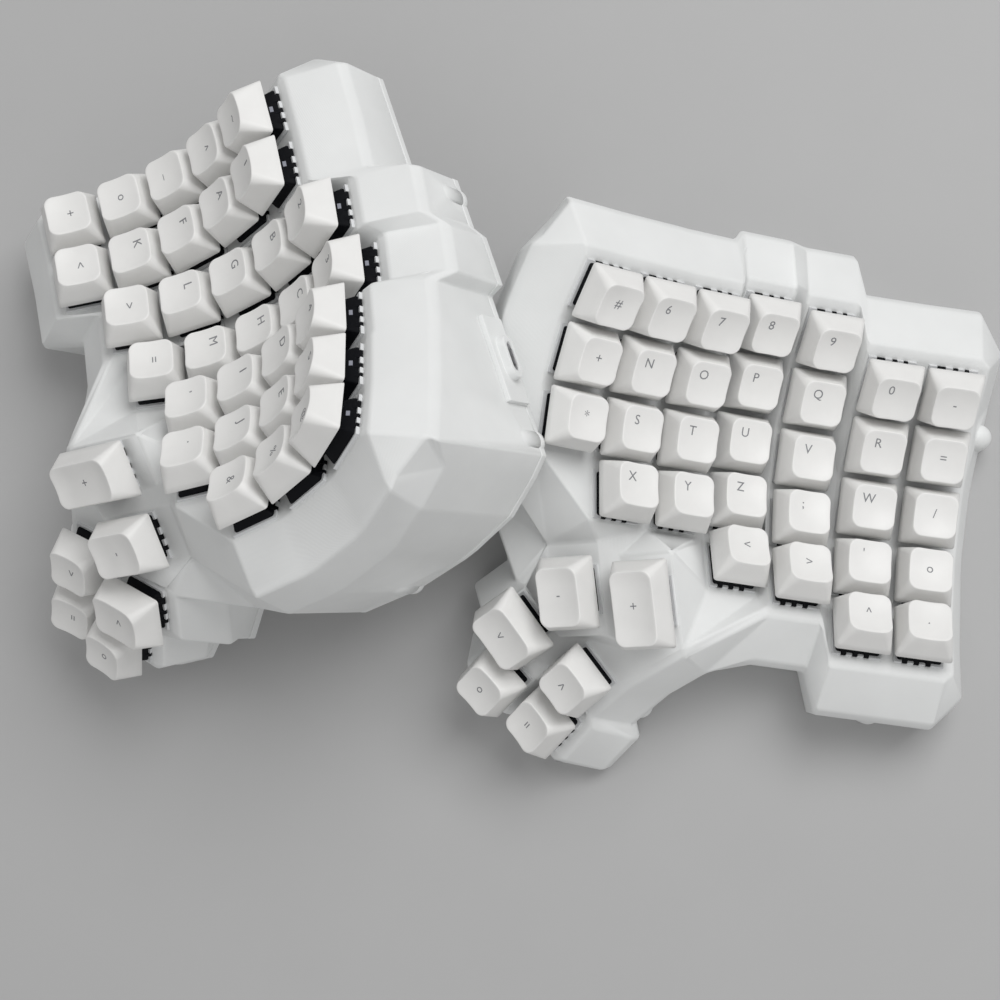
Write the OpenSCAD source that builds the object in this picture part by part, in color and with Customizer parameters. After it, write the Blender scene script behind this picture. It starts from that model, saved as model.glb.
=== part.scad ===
// Ergonomic split keyboard.
// Each half is a printed case with a concave key well, staggered columns and a
// six-key thumb cluster, closed below by a screwed base plate. The left half is
// the mirror image of the right one. The right half stands flat, and the left
// half leans: two front corners on the table, its base on the right half's rim.
// Lengths are in millimetres and angles in degrees, +Z up and +Y to the back.

/* [Key well] */
// Tilt from one key to the next along a column
column_bend = 15; // [14:0.5:16]
// Tilt from one column to the next
row_bend = 5; // [4:0.5:6]
// Sideways slope of the whole key well, inner side up
tent = 21; // [19:0.5:23]
// Height of the middle key's frame above the table
well_height = 23; // [22:0.5:30]
// Space between neighbouring columns, at cap height
column_gap = 2.5; // [2:0.1:3.5]
// Space between the keys of one column, at cap height
row_gap = 0.5; // [0.3:0.1:1.5]
// How far the middle finger's column is set towards the back
middle_reach = 3.2; // [1:0.2:5]
// How far the middle finger's column is set lower
middle_drop = 6; // [4:0.2:7]
// How far the little finger's columns are set towards the front
little_setback = 12.6; // [9:0.2:14]
// How far the little finger's columns are set higher
little_rise = 5.4; // [4:0.2:7]

/* [Case] */
// Thickness of the walls
wall = 3; // [2.4:0.1:3.6]
// Thickness of the webs between the key frames
web = 3.5; // [3:0.1:4]
// Width that the wall flares out below the rim
flare = 8; // [6:0.5:9]
// Width that the wall behind the middle to outer columns flares out below the rim
back_flare = 9.5; // [7:0.5:10]
// Width that the outer side's wall flares out below the rim
side_flare = 6.5; // [5:0.5:8]
// Width that the inner shoulder's wall flares out below the rim
shoulder_flare = 5; // [4:0.5:7]
// Depth of the sloping part of the wall
slope_drop = 15; // [12:0.5:16]
// Width of the inner shoulder beside the key well
shoulder = 12; // [9:0.5:13]
// How much lower the inner shoulder lies than the well's edge
shoulder_drop = 3; // [1:0.5:5]
// Thickness of the base plate
base_thick = 3; // [2.4:0.2:4]

/* [Keycaps] */
// Width of a one-unit cap at its lower edge
cap_base = 18.2; // [17.8:0.1:18.3]
// Width of the cap's top
cap_top = 13.6; // [12.8:0.1:14.4]
// Height of a cap at the middle of its sides
cap_height = 8.9; // [8.6:0.1:9.4]
// Height of a cap's lower edge above the frame
cap_lift = 6; // [5.9:0.1:6.4]
// Depth of the round dish below the middle of the cap's sides
cap_dish = 0.9; // [0.4:0.1:1.2]
// Pitch of one key unit
unit = 19.05; // [18.6:0.05:19.4]
// Travel of a key
travel = 4; // [3:0.1:4.2]

/* [Switches] */
// Side of the square hole that a switch snaps into
hole = 14; // [13.9:0.05:14.2]
// Width of the frame round a switch hole
frame_rim = 1.7; // [1.4:0.1:2]
// Side of the flange that rests on the frame
flange = 15.6; // [15.2:0.1:16]
// Room round the slider in its housing
slider_room = 0.5; // [0.4:0.05:0.6]

/* [Port and screws] */
// Distance of the port from the inner back corner
port_inset = 30; // [26:1:36]
// Width of the port holder's plate
port_width = 28; // [24:1:30]
// Height of the port holder's plate
port_height = 13; // [12:0.5:15]
// Radius of a screw boss
boss_radius = 4.2; // [4:0.1:4.6]
// Height of the straight part of a screw boss
boss_height = 8; // [6:0.5:9]
// Diameter of the screw thread
screw = 3; // [2.5:0.5:3]

/* [Left half] */
// How far the edge that the left half stands on lies outside the right half's shoulder
left_reach = 156.5; // [156:0.5:162]
// Place of the left half's outer front corner, towards the back
left_y = 41; // [36:1:46]
// Direction of the left half's front edge
left_turn = -77.5; // [-82:0.5:-74]

/* [Hidden] */
// Overlap of solids that are joined, and overrun of a cut.
lap = 0.1;
cut = 1;

// Columns count from the thumb side, rows from the back.
column_names = ["inner", "near_index", "index", "middle", "ring", "little", "outer"];
column_rows = [3, 4, 4, 5, 5, 5, 5];
function place_of(name, list) = search([name], list)[0];
INNER = place_of("inner", column_names);
NEAR_INDEX = place_of("near_index", column_names);
INDEX = place_of("index", column_names);
MIDDLE = place_of("middle", column_names);
RING_FINGER = place_of("ring", column_names);
LITTLE = place_of("little", column_names);
OUTER = place_of("outer", column_names);
INNER_ROW = column_rows[INNER] - 1;
INDEX_ROW = column_rows[INDEX] - 1;
LAST_ROW = column_rows[OUTER] - 1;
MID_ROW = LAST_ROW / 2;
column_shift = [
    [0, 0, 0.4], [0, 0, 0.4], [0, 0, 0],
    [0.8, middle_reach, -middle_drop], [0, 0.4, 0.4],
    [-0.4, -little_setback, little_rise], [-0.4, -little_setback, little_rise]
];

// Switch frame: a square hole with a rim round it.
frame = hole + 2 * frame_rim;
// The gaps between keys are measured at the height of a plain cap's top.
plate = 4;
plain_cap = 12.7;
pivot_level = plate + plain_cap;
column_radius = (frame + row_gap) / 2 / sin(column_bend / 2) + pivot_level;
row_radius = (frame + column_gap) / 2 / sin(row_bend / 2) + pivot_level;

// Rigid moves as matrices, so that points and solids use the same places.
function move(v) = [[1, 0, 0, v.x], [0, 1, 0, v.y], [0, 0, 1, v.z], [0, 0, 0, 1]];
function turn_x(a) = [[1, 0, 0, 0], [0, cos(a), -sin(a), 0], [0, sin(a), cos(a), 0], [0, 0, 0, 1]];
function turn_y(a) = [[cos(a), 0, sin(a), 0], [0, 1, 0, 0], [-sin(a), 0, cos(a), 0], [0, 0, 0, 1]];
function turn_z(a) = [[cos(a), -sin(a), 0, 0], [sin(a), cos(a), 0, 0], [0, 0, 1, 0], [0, 0, 0, 1]];
function at(m, p) = [for (i = [0:2]) m[i] * [p.x, p.y, p.z, 1]];

// Seat of the key in column c and row r of the well.
function well_seat(c, r) =
    move([0, 0, well_height]) * turn_y(tent) * move(column_shift[c] + [0, 0, row_radius])
    * turn_y(row_bend * (MIDDLE - c)) * move([0, 0, column_radius - row_radius])
    * turn_x(column_bend * (MID_ROW - r)) * move([0, 0, -column_radius]);

// Thumb keys: tilt about X, Y and Z, place from the cluster's corner, length in units
// and length of the frame.
long_frame = 30.2;
thumb_names = ["upper_right", "upper_left", "mid_right", "mid_left", "low_right", "low_left"];
UPPER_RIGHT = place_of("upper_right", thumb_names);
UPPER_LEFT = place_of("upper_left", thumb_names);
MID_RIGHT = place_of("mid_right", thumb_names);
MID_LEFT = place_of("mid_left", thumb_names);
LOW_RIGHT = place_of("low_right", thumb_names);
LOW_LEFT = place_of("low_left", thumb_names);
thumb_keys = [
    [[10, -23, 10], [-11.6, -15.3, 2.6], 1.5, long_frame],
    [[10, -23, 10], [-34.9, -14.7, -2.6], 1.25, long_frame],
    [[-6, -34, 48], [-28.4, -40.2, -12.6], 1, frame],
    [[6, -34, 40], [-51.1, -25.7, -11.8], 1.25, frame],
    [[-16, -33, 54], [-36.8, -55.5, -24.8], 1, frame],
    [[-4, -35, 52], [-55.7, -43.5, -23.4], 1, frame]
];
thumb_shift = [3.3, -4.7, 9.2];
thumb_corner = at(well_seat(INDEX, INDEX_ROW), [frame / 2, -frame / 2, 0]) + thumb_shift;
function thumb_seat(t) =
    move(thumb_corner + thumb_keys[t][1])
    * turn_z(thumb_keys[t][0].z) * turn_y(thumb_keys[t][0].y) * turn_x(thumb_keys[t][0].x);

// All seats in one list: the well column by column, then the thumb keys.
function first_key(c) = c <= INNER ? 0 : first_key(c - 1) + column_rows[c - 1];
WELL_KEYS = first_key(OUTER) + column_rows[OUTER];
SEATS = concat(
    [for (c = [INNER:OUTER]) for (r = [0:column_rows[c] - 1]) well_seat(c, r)],
    [for (t = [0:len(thumb_keys) - 1]) thumb_seat(t)]
);
KEY_UNITS = concat([for (i = [1:WELL_KEYS]) 1], [for (t = thumb_keys) t[2]]);
FRAME_LENGTHS = concat([for (i = [1:WELL_KEYS]) frame], [for (t = thumb_keys) t[3]]);
function key(c, r) = first_key(c) + r;
function thumb(t) = WELL_KEYS + t;

// Corners of a frame, clockwise from the back left one.
CORNERS = [[-1, 1], [1, 1], [1, -1], [-1, -1]];
corner_names = ["back_left", "back_right", "front_right", "front_left"];
TL = place_of("back_left", corner_names);
TR = place_of("back_right", corner_names);
BR = place_of("front_right", corner_names);
BL = place_of("front_left", corner_names);
function half_frame(i) = [frame / 2, FRAME_LENGTHS[i] / 2];
function corner(i, k) = [CORNERS[k].x * half_frame(i).x, CORNERS[k].y * half_frame(i).y];

// The shell is a sheet of posts: each has an upper and a lower point.
function post(m, p) = [at(m, [p.x, p.y, plate]), at(m, [p.x, p.y, plate - web])];
SEAT_POSTS = 2 * len(CORNERS);
seat_posts = [
    for (i = [0:len(SEATS) - 1]) for (ring = [0, 1]) for (k = [0:3])
        post(SEATS[i], ring == 0 ? corner(i, k) : CORNERS[k] * hole / 2)
];
BAND = len(seat_posts);
band_sides = [1, -1];
band_seats = [
    for (r = [0:INNER_ROW]) for (side = band_sides)
        move(at(SEATS[r], [-frame / 2, side * frame / 2, 0]) - [shoulder, 0, shoulder_drop])
];
band_posts = [for (m = band_seats) post(m, [0, 0])];
LAST_BAND = len(band_seats) - 1;
RIM = BAND + len(band_posts);

// The wall's path, clockwise from the back inner corner: frame of reference, place
// in it, outward direction, the post that the wall hangs from and how far it flares.
function outer_post(i, k) = SEAT_POSTS * i + k;
function hole_post(i, k) = outer_post(i, k) + len(CORNERS);
function by_key(i, k, d, f = flare) = [SEATS[i], corner(i, k), d, outer_post(i, k), f];
function by_band(j, d, f = flare) = [band_seats[j], [0, 0], d, BAND + j, f];
BACK = [0, 1];
RIGHT = [1, 0];
FRONT = [0, -1];
LEFT = [-1, 0];
VALLEY = [0, 0];
INNER_BACK = [-0.3, 1];
THUMB_BACK = [-0.9, 0.9];
wall_path = concat(
    [by_band(0, BACK), by_key(key(INNER, 0), TL, INNER_BACK), by_key(key(INNER, 0), TR, BACK)],
    [for (c = [NEAR_INDEX:INDEX]) for (k = [TL, TR]) by_key(key(c, 0), k, BACK)],
    [for (c = [MIDDLE:OUTER]) for (k = [TL, TR]) by_key(key(c, 0), k, BACK, back_flare)],
    [for (r = [0:LAST_ROW]) for (k = [TR, BR]) by_key(key(OUTER, r), k, RIGHT, side_flare)],
    [for (c = [OUTER, LITTLE]) for (k = [BR, BL]) by_key(key(c, LAST_ROW), k, FRONT)],
    [for (k = [BR, BL]) by_key(key(RING_FINGER, LAST_ROW), k, FRONT)],
    [by_key(thumb(UPPER_RIGHT), BR, FRONT)],
    [for (t = [MID_RIGHT, LOW_RIGHT]) for (k = [BR, BL]) by_key(thumb(t), k, FRONT)],
    [for (t = [LOW_RIGHT, LOW_LEFT]) for (k = [BL, TL]) by_key(thumb(t), k, LEFT)],
    [by_key(thumb(LOW_LEFT), TL, BACK), by_key(thumb(LOW_LEFT), TR, THUMB_BACK)],
    [for (k = [TL, TR]) by_key(thumb(MID_LEFT), k, THUMB_BACK)],
    [by_key(thumb(UPPER_LEFT), TL, VALLEY)],
    [for (j = [LAST_BAND:-1:0]) by_band(j, LEFT, shoulder_flare)]
);
STEPS = len(wall_path);
function next(e) = (e + 1) % STEPS;
function last(e) = (e + STEPS - 1) % STEPS;
function step_at(i, k, d) = [
    for (e = [0:STEPS - 1]) if (wall_path[e][3] == outer_post(i, k) && wall_path[e][2] == d) e
][0];

// Outer points of the wall at one place, from the rim to the floor. Where the slope
// would run below the floor it ends just above it. In the valley between the shoulder
// and the thumb cluster the wall stands midway between its neighbours.
rim_drop = 1;
edge_lift = 0.8;
function wall_point(e, width, level) =
    let (w = wall_path[e])
    at(w[0], [w[1].x + w[2].x * width, w[1].y + w[2].y * width, plate - level]);
function stop_at(p, q, z) = q.z >= z ? q : q + (p - q) * ((z - q.z) / (p.z - q.z));
function rim(e) = wall_point(e, wall, rim_drop);
function reach(e) = wall + wall_path[e][4];
function knee(e) =
    wall_path[e][2] == VALLEY
    ? (knee(last(e)) + knee(next(e))) / 2
    : stop_at(rim(e), wall_point(e, reach(e), slope_drop), base_thick + 2 * edge_lift);
function foot(e) =
    wall_path[e][2] == VALLEY
    ? (foot(last(e)) + foot(next(e))) / 2
    : let (k = knee(e), f = wall_point(e, reach(e), slope_drop + web))
        f.z > base_thick + edge_lift ? f : [k.x, k.y, base_thick + edge_lift];
outer_rim = [for (e = [0:STEPS - 1]) rim(e)];
outer_knee = [for (e = [0:STEPS - 1]) knee(e)];
outer_foot = [for (e = [0:STEPS - 1]) foot(e)];
floor_line = [for (p = outer_foot) [p.x, p.y]];

// Inward mitre of the floor line, for a wall of thickness 1.
mitre_limit = 0.6;
function unit_vector(v) = v / norm(v);
function inward(a, b) = let (u = unit_vector(b - a)) [u.y, -u.x];
function mitre(e) =
    let (
        a = inward(floor_line[last(e)], floor_line[e]),
        b = inward(floor_line[e], floor_line[next(e)])
    )
    (a + b) / max(mitre_limit, 1 + a * b);
function inner(p, e) = p + wall * [mitre(e).x, mitre(e).y, 0];
rim_tuck = 0.12;
function blend(a, b, f) = a + (b - a) * f;
wall_posts = concat(
    [for (e = [0:STEPS - 1])
        let (low = concat(seat_posts, band_posts)[wall_path[e][3]][1])
        [outer_rim[e], blend(low, inner(outer_knee[e], e), rim_tuck)]],
    [for (e = [0:STEPS - 1]) [outer_knee[e], inner(outer_knee[e], e)]],
    [for (e = [0:STEPS - 1]) [outer_foot[e], inner(outer_foot[e], e)]],
    [for (e = [0:STEPS - 1])
        let (p = [floor_line[e].x, floor_line[e].y, base_thick])
        [p, inner(p, e)]]
);
function ring_post(ring, e) = ring == 0 ? wall_path[e][3] : RIM + (ring - 1) * STEPS + e;

// The sheet's faces as triangles, clockwise from above.
function quad(a, b, c, d) = [[a, b, c], [a, c, d]];
function has(c, r) = r < column_rows[c];
function kp(c, r, k) = outer_post(key(c, r), k);
function tp(t, k) = outer_post(thumb(t), k);
frame_faces = [
    for (i = [0:len(SEATS) - 1]) for (k = [0:3]) let (n = (k + 1) % 4)
        each quad(outer_post(i, k), outer_post(i, n), hole_post(i, n), hole_post(i, k))
];
well_faces = [
    for (c = [INNER:OUTER]) for (r = [0:LAST_ROW]) each concat(
        c < OUTER && has(c, r)
            ? quad(kp(c, r, TR), kp(c + 1, r, TL), kp(c + 1, r, BL), kp(c, r, BR)) : [],
        has(c, r + 1)
            ? quad(kp(c, r, BL), kp(c, r, BR), kp(c, r + 1, TR), kp(c, r + 1, TL)) : [],
        c < OUTER && has(c, r + 1)
            ? quad(kp(c, r, BR), kp(c + 1, r, BL), kp(c + 1, r + 1, TL), kp(c, r + 1, TR)) : [],
        c < OUTER && has(c, r) && !has(c, r + 1) && has(c + 1, r + 1)
            ? [[kp(c, r, BR), kp(c + 1, r, BL), kp(c + 1, r + 1, TL)]] : []
    )
];
band_faces = [
    for (r = [0:INNER_ROW]) each concat(
        quad(BAND + 2 * r, kp(INNER, r, TL), kp(INNER, r, BL), BAND + 2 * r + 1),
        has(INNER, r + 1)
            ? quad(BAND + 2 * r + 1, kp(INNER, r, BL), kp(INNER, r + 1, TL), BAND + 2 * r + 2) : []
    )
];
// A strip between two rows of posts, given alternately from each side.
function strip(s) = [
    for (i = [0:len(s) - 3]) i % 2 == 0 ? [s[i], s[i + 1], s[i + 2]] : [s[i], s[i + 2], s[i + 1]]
];
thumb_tl = tp(UPPER_LEFT, TL);
thumb_tr = tp(UPPER_RIGHT, TR);
thumb_br = tp(UPPER_RIGHT, BR);
near_tl = kp(NEAR_INDEX, INDEX_ROW, TL);
near_bl = kp(NEAR_INDEX, INDEX_ROW, BL);
index_br = kp(INDEX, INDEX_ROW, BR);
middle_tl = kp(MIDDLE, LAST_ROW, TL);
middle_bl = kp(MIDDLE, LAST_ROW, BL);
middle_br = kp(MIDDLE, LAST_ROW, BR);
band_end = BAND + LAST_BAND;
thumb_faces = concat(
    [for (p = [
        [thumb_tl, band_end], [kp(INNER, INNER_ROW, BR), near_tl], [near_tl, near_bl], [near_bl, thumb_tl]
    ]) [p[0], p[1], kp(INNER, INNER_ROW, BL)]],
    strip([
        thumb_tl, near_bl, tp(UPPER_LEFT, TR), kp(NEAR_INDEX, INDEX_ROW, BR),
        tp(UPPER_RIGHT, TL), kp(INDEX, INDEX_ROW, BL), thumb_tr, index_br
    ]),
    [[thumb_tr, index_br, middle_tl], [thumb_tr, middle_tl, middle_bl]],
    [[thumb_tr, middle_bl, thumb_br], [thumb_br, middle_bl, middle_br]],
    [[thumb_br, middle_br, kp(RING_FINGER, LAST_ROW, BL)]],
    quad(tp(UPPER_LEFT, TR), tp(UPPER_RIGHT, TL), tp(UPPER_RIGHT, BL), tp(UPPER_LEFT, BR)),
    [[tp(MID_LEFT, TR), thumb_tl, tp(UPPER_LEFT, BL)]],
    strip([
        tp(MID_LEFT, TR), tp(UPPER_LEFT, BL), tp(MID_LEFT, BR), tp(UPPER_LEFT, BR),
        tp(MID_RIGHT, TR), tp(UPPER_RIGHT, BL), tp(MID_RIGHT, BR), thumb_br
    ]),
    quad(tp(LOW_RIGHT, TR), tp(MID_RIGHT, TL), tp(MID_RIGHT, BL), tp(LOW_RIGHT, BR)),
    quad(tp(LOW_LEFT, TR), tp(MID_LEFT, TL), tp(MID_LEFT, BL), tp(LOW_LEFT, BR)),
    strip([
        tp(LOW_RIGHT, TL), tp(LOW_LEFT, BL), tp(LOW_RIGHT, TR), tp(LOW_LEFT, BR),
        tp(MID_RIGHT, TL), tp(MID_LEFT, BL), tp(MID_RIGHT, TR), tp(MID_LEFT, BR)
    ])
);
wall_faces = [
    for (ring = [0:3]) for (e = [0:STEPS - 1])
        each quad(ring_post(ring, e), ring_post(ring + 1, e),
                  ring_post(ring + 1, next(e)), ring_post(ring, next(e)))
];
function proper(t) = t[0] != t[1] && t[1] != t[2] && t[2] != t[0];
skin = [for (t = concat(frame_faces, well_faces, band_faces, thumb_faces, wall_faces)) if (proper(t)) t];
posts = concat(seat_posts, band_posts, wall_posts);
LOWER = len(posts);
function edge_wall(a, b) = quad(a, b, b + LOWER, a + LOWER);
hole_faces = [
    for (i = [0:len(SEATS) - 1]) for (k = [0:3])
        each edge_wall(hole_post(i, k), hole_post(i, (k + 1) % len(CORNERS)))
];
floor_faces = [for (e = [0:STEPS - 1]) each edge_wall(ring_post(4, next(e)), ring_post(4, e))];
shell_points = concat([for (p = posts) p[0]], [for (p = posts) p[1]]);
shell_faces = concat(
    skin, [for (t = skin) [t[2] + LOWER, t[1] + LOWER, t[0] + LOWER]], hole_faces, floor_faces
);

module shell() {
    polyhedron(points = shell_points, faces = shell_faces, convexity = 10);
}

// Screw bosses along the wall: step of its path, way to the next step and distance
// inside the wall's outer face. The one at the outer side stands proud of it.
deep_boss = 3.2;
proud_boss = 1.8;
boss_spots = [
    [step_at(key(INNER, 0), TL, INNER_BACK), 0.3, deep_boss],
    [step_at(key(RING_FINGER, 0), TL, BACK), 0.6, deep_boss],
    [step_at(key(OUTER, 1), TR, RIGHT), 0.25, proud_boss],
    [step_at(key(OUTER, LAST_ROW), BL, FRONT), 0.5, deep_boss],
    [step_at(thumb(MID_RIGHT), BR, FRONT), 0.7, deep_boss],
    [STEPS - LAST_BAND, 0.5, deep_boss]
];
function boss_place(s) =
    let (a = floor_line[s[0]], b = floor_line[next(s[0])])
    a + (b - a) * s[1] + inward(a, b) * s[2];
BOSSES = [for (s = boss_spots) boss_place(s)];
insert_length = 4.5;
insert_wall = 0.75;
insert_fit = 0.1;
insert_play = 0.2;
thread_room = 0.05;

module at_bosses(z) {
    for (p = BOSSES) translate([p.x, p.y, z]) children();
}

module boss() {
    cylinder(r = boss_radius, h = boss_height, $fn = 32);
    translate([0, 0, boss_height]) sphere(r = boss_radius, $fn = 32);
}

// The port holder slides into a notch of the back wall from below.
back_y = floor_line[1].y;
port_x = floor_line[1].x + port_inset;
port_z = base_thick + port_height / 2;
port_lip = 1.5;
port_fit = 0.2;
port_proud = 1.6;
collar_proud = 2.6;
collar_size = [14, 7];
socket_size = [8.94, 3.26];
socket_wall = 0.3;
socket_length = 8.2;
socket_recess = 0.5;
socket_back = 1;
tongue_size = [6.7, 0.7];
board_size = [18, 33, 1.6];
shield_size = [12, 14, 1.8];
shield_inset = 8;
plug_size = [8, 5, 4];
plug_inset = 26;
notch_size = [port_width - 2 * port_lip, port_height - port_lip];

module pill(size) {
    square([size.x - size.y, size.y], center = true);
    for (side = [-1, 1]) translate([side * (size.x - size.y) / 2, 0]) circle(d = size.y, $fn = 48);
}

// Draws a profile of the back wall, from depth y over a length towards the back.
module through_wall(y, length) {
    translate([port_x, y, port_z]) rotate([90, 0, 0]) translate([0, 0, -length])
        linear_extrude(length) children();
}

module case_body() {
    difference() {
        union() {
            shell();
            at_bosses(base_thick) boss();
        }
        at_bosses(base_thick - cut) cylinder(
            r = screw / 2 + insert_wall + insert_fit, h = cut + insert_length + insert_play, $fn = 32);
        translate([port_x - notch_size.x / 2, back_y - wall - 2 * cut, base_thick - cut])
            cube([notch_size.x, wall + 4 * cut, notch_size.y + cut]);
    }
}

// Base plate under the walls and bosses, with a counterbored hole at each boss.
head_size = [5.6, 1.8];
head_room = 0.2;
screw_room = 0.2;
hex_size = 2.3;
hex_depth = 1.2;
module base_body() {
    difference() {
        union() {
            linear_extrude(base_thick) polygon(floor_line);
            at_bosses(0) cylinder(r = boss_radius, h = base_thick, $fn = 32);
        }
        at_bosses(-cut) cylinder(d = screw + 2 * screw_room, h = base_thick + 2 * cut, $fn = 32);
        at_bosses(-cut)
            cylinder(d = head_size.x + 2 * head_room, h = cut + head_size.y + head_room, $fn = 32);
    }
}

module screw_body() {
    shank = base_thick - head_size.y - head_room + insert_length;
    difference() {
        translate([0, 0, head_room]) cylinder(d = head_size.x, h = head_size.y, $fn = 32);
        cylinder(d = hex_size, h = hex_depth + head_room, $fn = 6);
    }
    translate([0, 0, head_room + head_size.y - lap]) cylinder(d = screw, h = shank + lap, $fn = 32);
}

module insert_body() {
    difference() {
        cylinder(r = screw / 2 + insert_wall, h = insert_length, $fn = 32);
        translate([0, 0, -cut])
            cylinder(r = screw / 2 + thread_room, h = insert_length + 2 * cut, $fn = 32);
    }
}

module holder_body() {
    neck = [notch_size.x - 2 * port_fit, notch_size.y - port_fit];
    shelf = port_z - socket_size.y / 2 - board_size.z - base_thick;
    difference() {
        union() {
            translate([port_x - port_width / 2, back_y, base_thick])
                cube([port_width, port_proud, port_height]);
            translate([port_x - neck.x / 2, back_y - wall, base_thick])
                cube([neck.x, wall + lap, neck.y]);
            translate([port_x - board_size.x / 2, back_y - wall - board_size.y, base_thick])
                cube([board_size.x, board_size.y + lap, shelf]);
            through_wall(back_y + port_proud - lap, collar_proud + lap) pill(collar_size);
        }
        through_wall(back_y - wall - cut, wall + port_proud + collar_proud + 2 * cut)
            pill(socket_size + [1, 1] * 2 * port_fit);
    }
}

module socket_body() {
    front = back_y + port_proud + collar_proud - socket_recess;
    through_wall(front - socket_length, socket_length) difference() {
        pill(socket_size);
        pill(socket_size - [1, 1] * 2 * socket_wall);
    }
    through_wall(front - socket_length, socket_back) pill(socket_size - [1, 1] * socket_wall);
    through_wall(front - socket_length, socket_length - socket_back) square(tongue_size, center = true);
}

module board_body() {
    top = port_z - socket_size.y / 2;
    back = back_y - wall;
    translate([port_x - board_size.x / 2, back - board_size.y, top - board_size.z]) cube(board_size);
    for (part = [[shield_size, shield_inset], [plug_size, plug_inset]])
        translate([port_x - part[0].x / 2, back - part[1] - part[0].y, top - lap])
            cube(part[0] + [0, 0, lap]);
}

battery_size = [34, 20, 5.5];
battery_place = [-4, 4];
battery_round = 2;
module battery_body() {
    translate([battery_place.x, battery_place.y, base_thick]) linear_extrude(battery_size.z) {
        square([battery_size.x - 2 * battery_round, battery_size.y], center = true);
        square([battery_size.x, battery_size.y - 2 * battery_round], center = true);
        for (c = CORNERS)
            translate([
                c.x * (battery_size.x / 2 - battery_round), c.y * (battery_size.y / 2 - battery_round)
            ]) circle(battery_round, $fn = 32);
    }
}

// Switch: a lower housing with a flange, a tapered upper housing and a slider.
housing_fit = 0.1;
housing_depth = 5;
flange_thick = 1;
housing_rise = 6.6;
housing_top = plate + housing_rise;
upper_foot = [14, 14];
upper_head = [10.4, 9.2];
slider = [6.8, 5.6];
slider_length = 4.2;
cross_size = [4, 1.2];
cross_height = 3.6;
cross_fit = 0.05;
slider_floor = 0.6;

shaft = slider + [1, 1] * 2 * slider_room;

module lower_housing() {
    side = hole - 2 * housing_fit;
    low = housing_top - slider_length - travel - slider_floor;
    difference() {
        union() {
            translate([-side / 2, -side / 2, plate - housing_depth])
                cube([side, side, housing_depth + lap]);
            translate([-flange / 2, -flange / 2, plate]) cube([flange, flange, flange_thick]);
        }
        translate([-shaft.x / 2, -shaft.y / 2, low]) cube([shaft.x, shaft.y, housing_top]);
    }
}

function rectangle(size, z) = [for (c = CORNERS) [c.x * size.x / 2, c.y * size.y / 2, z]];
upper_points = concat(
    rectangle(upper_foot, plate + flange_thick), rectangle(upper_head, housing_top),
    rectangle(shaft, plate + flange_thick), rectangle(shaft, housing_top)
);
upper_faces = [
    for (k = [0:3]) let (n = (k + 1) % 4) each concat(
        quad(k, n, n + 4, k + 4), quad(k + 4, n + 4, n + 12, k + 12),
        quad(n + 8, k + 8, k + 12, n + 12), quad(n, k, k + 8, n + 8)
    )
];
module upper_housing() {
    polyhedron(points = upper_points, faces = upper_faces, convexity = 3);
}

module cross(grow) {
    square([cross_size.x + 2 * grow, cross_size.y + 2 * grow], center = true);
    square([cross_size.y + 2 * grow, cross_size.x + 2 * grow], center = true);
}

module slider_body() {
    translate([0, 0, housing_top - slider_length])
        translate([-slider.x / 2, -slider.y / 2, 0]) cube([slider.x, slider.y, slider_length]);
    translate([0, 0, housing_top - lap]) linear_extrude(cross_height + lap) cross(0);
}

// Keycap: a rounded square skirt whose rim follows the round dish, hollow below.
cap_level = plate + cap_lift;
cap_wall = 1.3;
cap_roof = 2.7;
roof_margin = 1.2;
skirt_round = 1;
top_round = 3.2;
bowl = 7;
bowl_round = 2;
socket_post = 5.6;
POST_SIDES = 8;
socket_gap = 0.4;
sink = 0.3;
dish_radius = pow(cap_top / 2, 2) / (2 * cap_dish);
function dish_level(p, extra) =
    let (y = max(0, abs(p.y) - extra / 2))
    cap_height - cap_dish + (p.x * p.x + y * y) / (2 * dish_radius);
// Each quarter of a ring has its corner's arc and the middle of the side after it.
ARC = 2;
QUARTER = ARC + 2;
RING = 4 * QUARTER;
BOWL = RING / 2;
function cap_outline(w, l, r) = [
    for (q = [0:3]) each concat(
        [for (s = [0:ARC])
            let (a = 90 * (q + s / ARC), m = 90 * q + 45)
            [sign(cos(m)) * (w / 2 - r) + r * cos(a), sign(sin(m)) * (l / 2 - r) + r * sin(a)]],
        [[cos(90 * (q + 1)) * w / 2, sin(90 * (q + 1)) * l / 2]]
    )
];
function dish_ring(w, extra, r) = [
    for (p = cap_outline(w, w + extra, r)) [p.x, p.y, dish_level(p, extra)]
];
function cap_hollow(w, l, z) = [
    for (q = [0:3]) let (m = 90 * q + 45) [sign(cos(m)) * w / 2, sign(sin(m)) * l / 2, z]
];
function cap_points(extra) = concat(
    [for (p = cap_outline(cap_base, cap_base + extra, skirt_round)) [p.x, p.y, 0]],
    dish_ring(cap_top, extra, top_round),
    [for (i = [0:2:RING - 1]) dish_ring(bowl, extra, bowl_round)[i]],
    [for (side = [1, -1]) [0, side * extra / 2, cap_height - cap_dish]],
    cap_hollow(cap_base - 2 * cap_wall, cap_base + extra - 2 * cap_wall, 0),
    cap_hollow(cap_top - roof_margin, cap_top + extra - roof_margin, cap_height - cap_roof)
);
DISH = 2 * RING + BOWL;
HOLLOW = DISH + 2;
function rim_point(i) = RING + i % RING;
function bowl_point(j) = 2 * RING + j % BOWL;
function dish_point(j) = DISH + (j % BOWL < BOWL / 2 ? 0 : 1);
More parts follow.
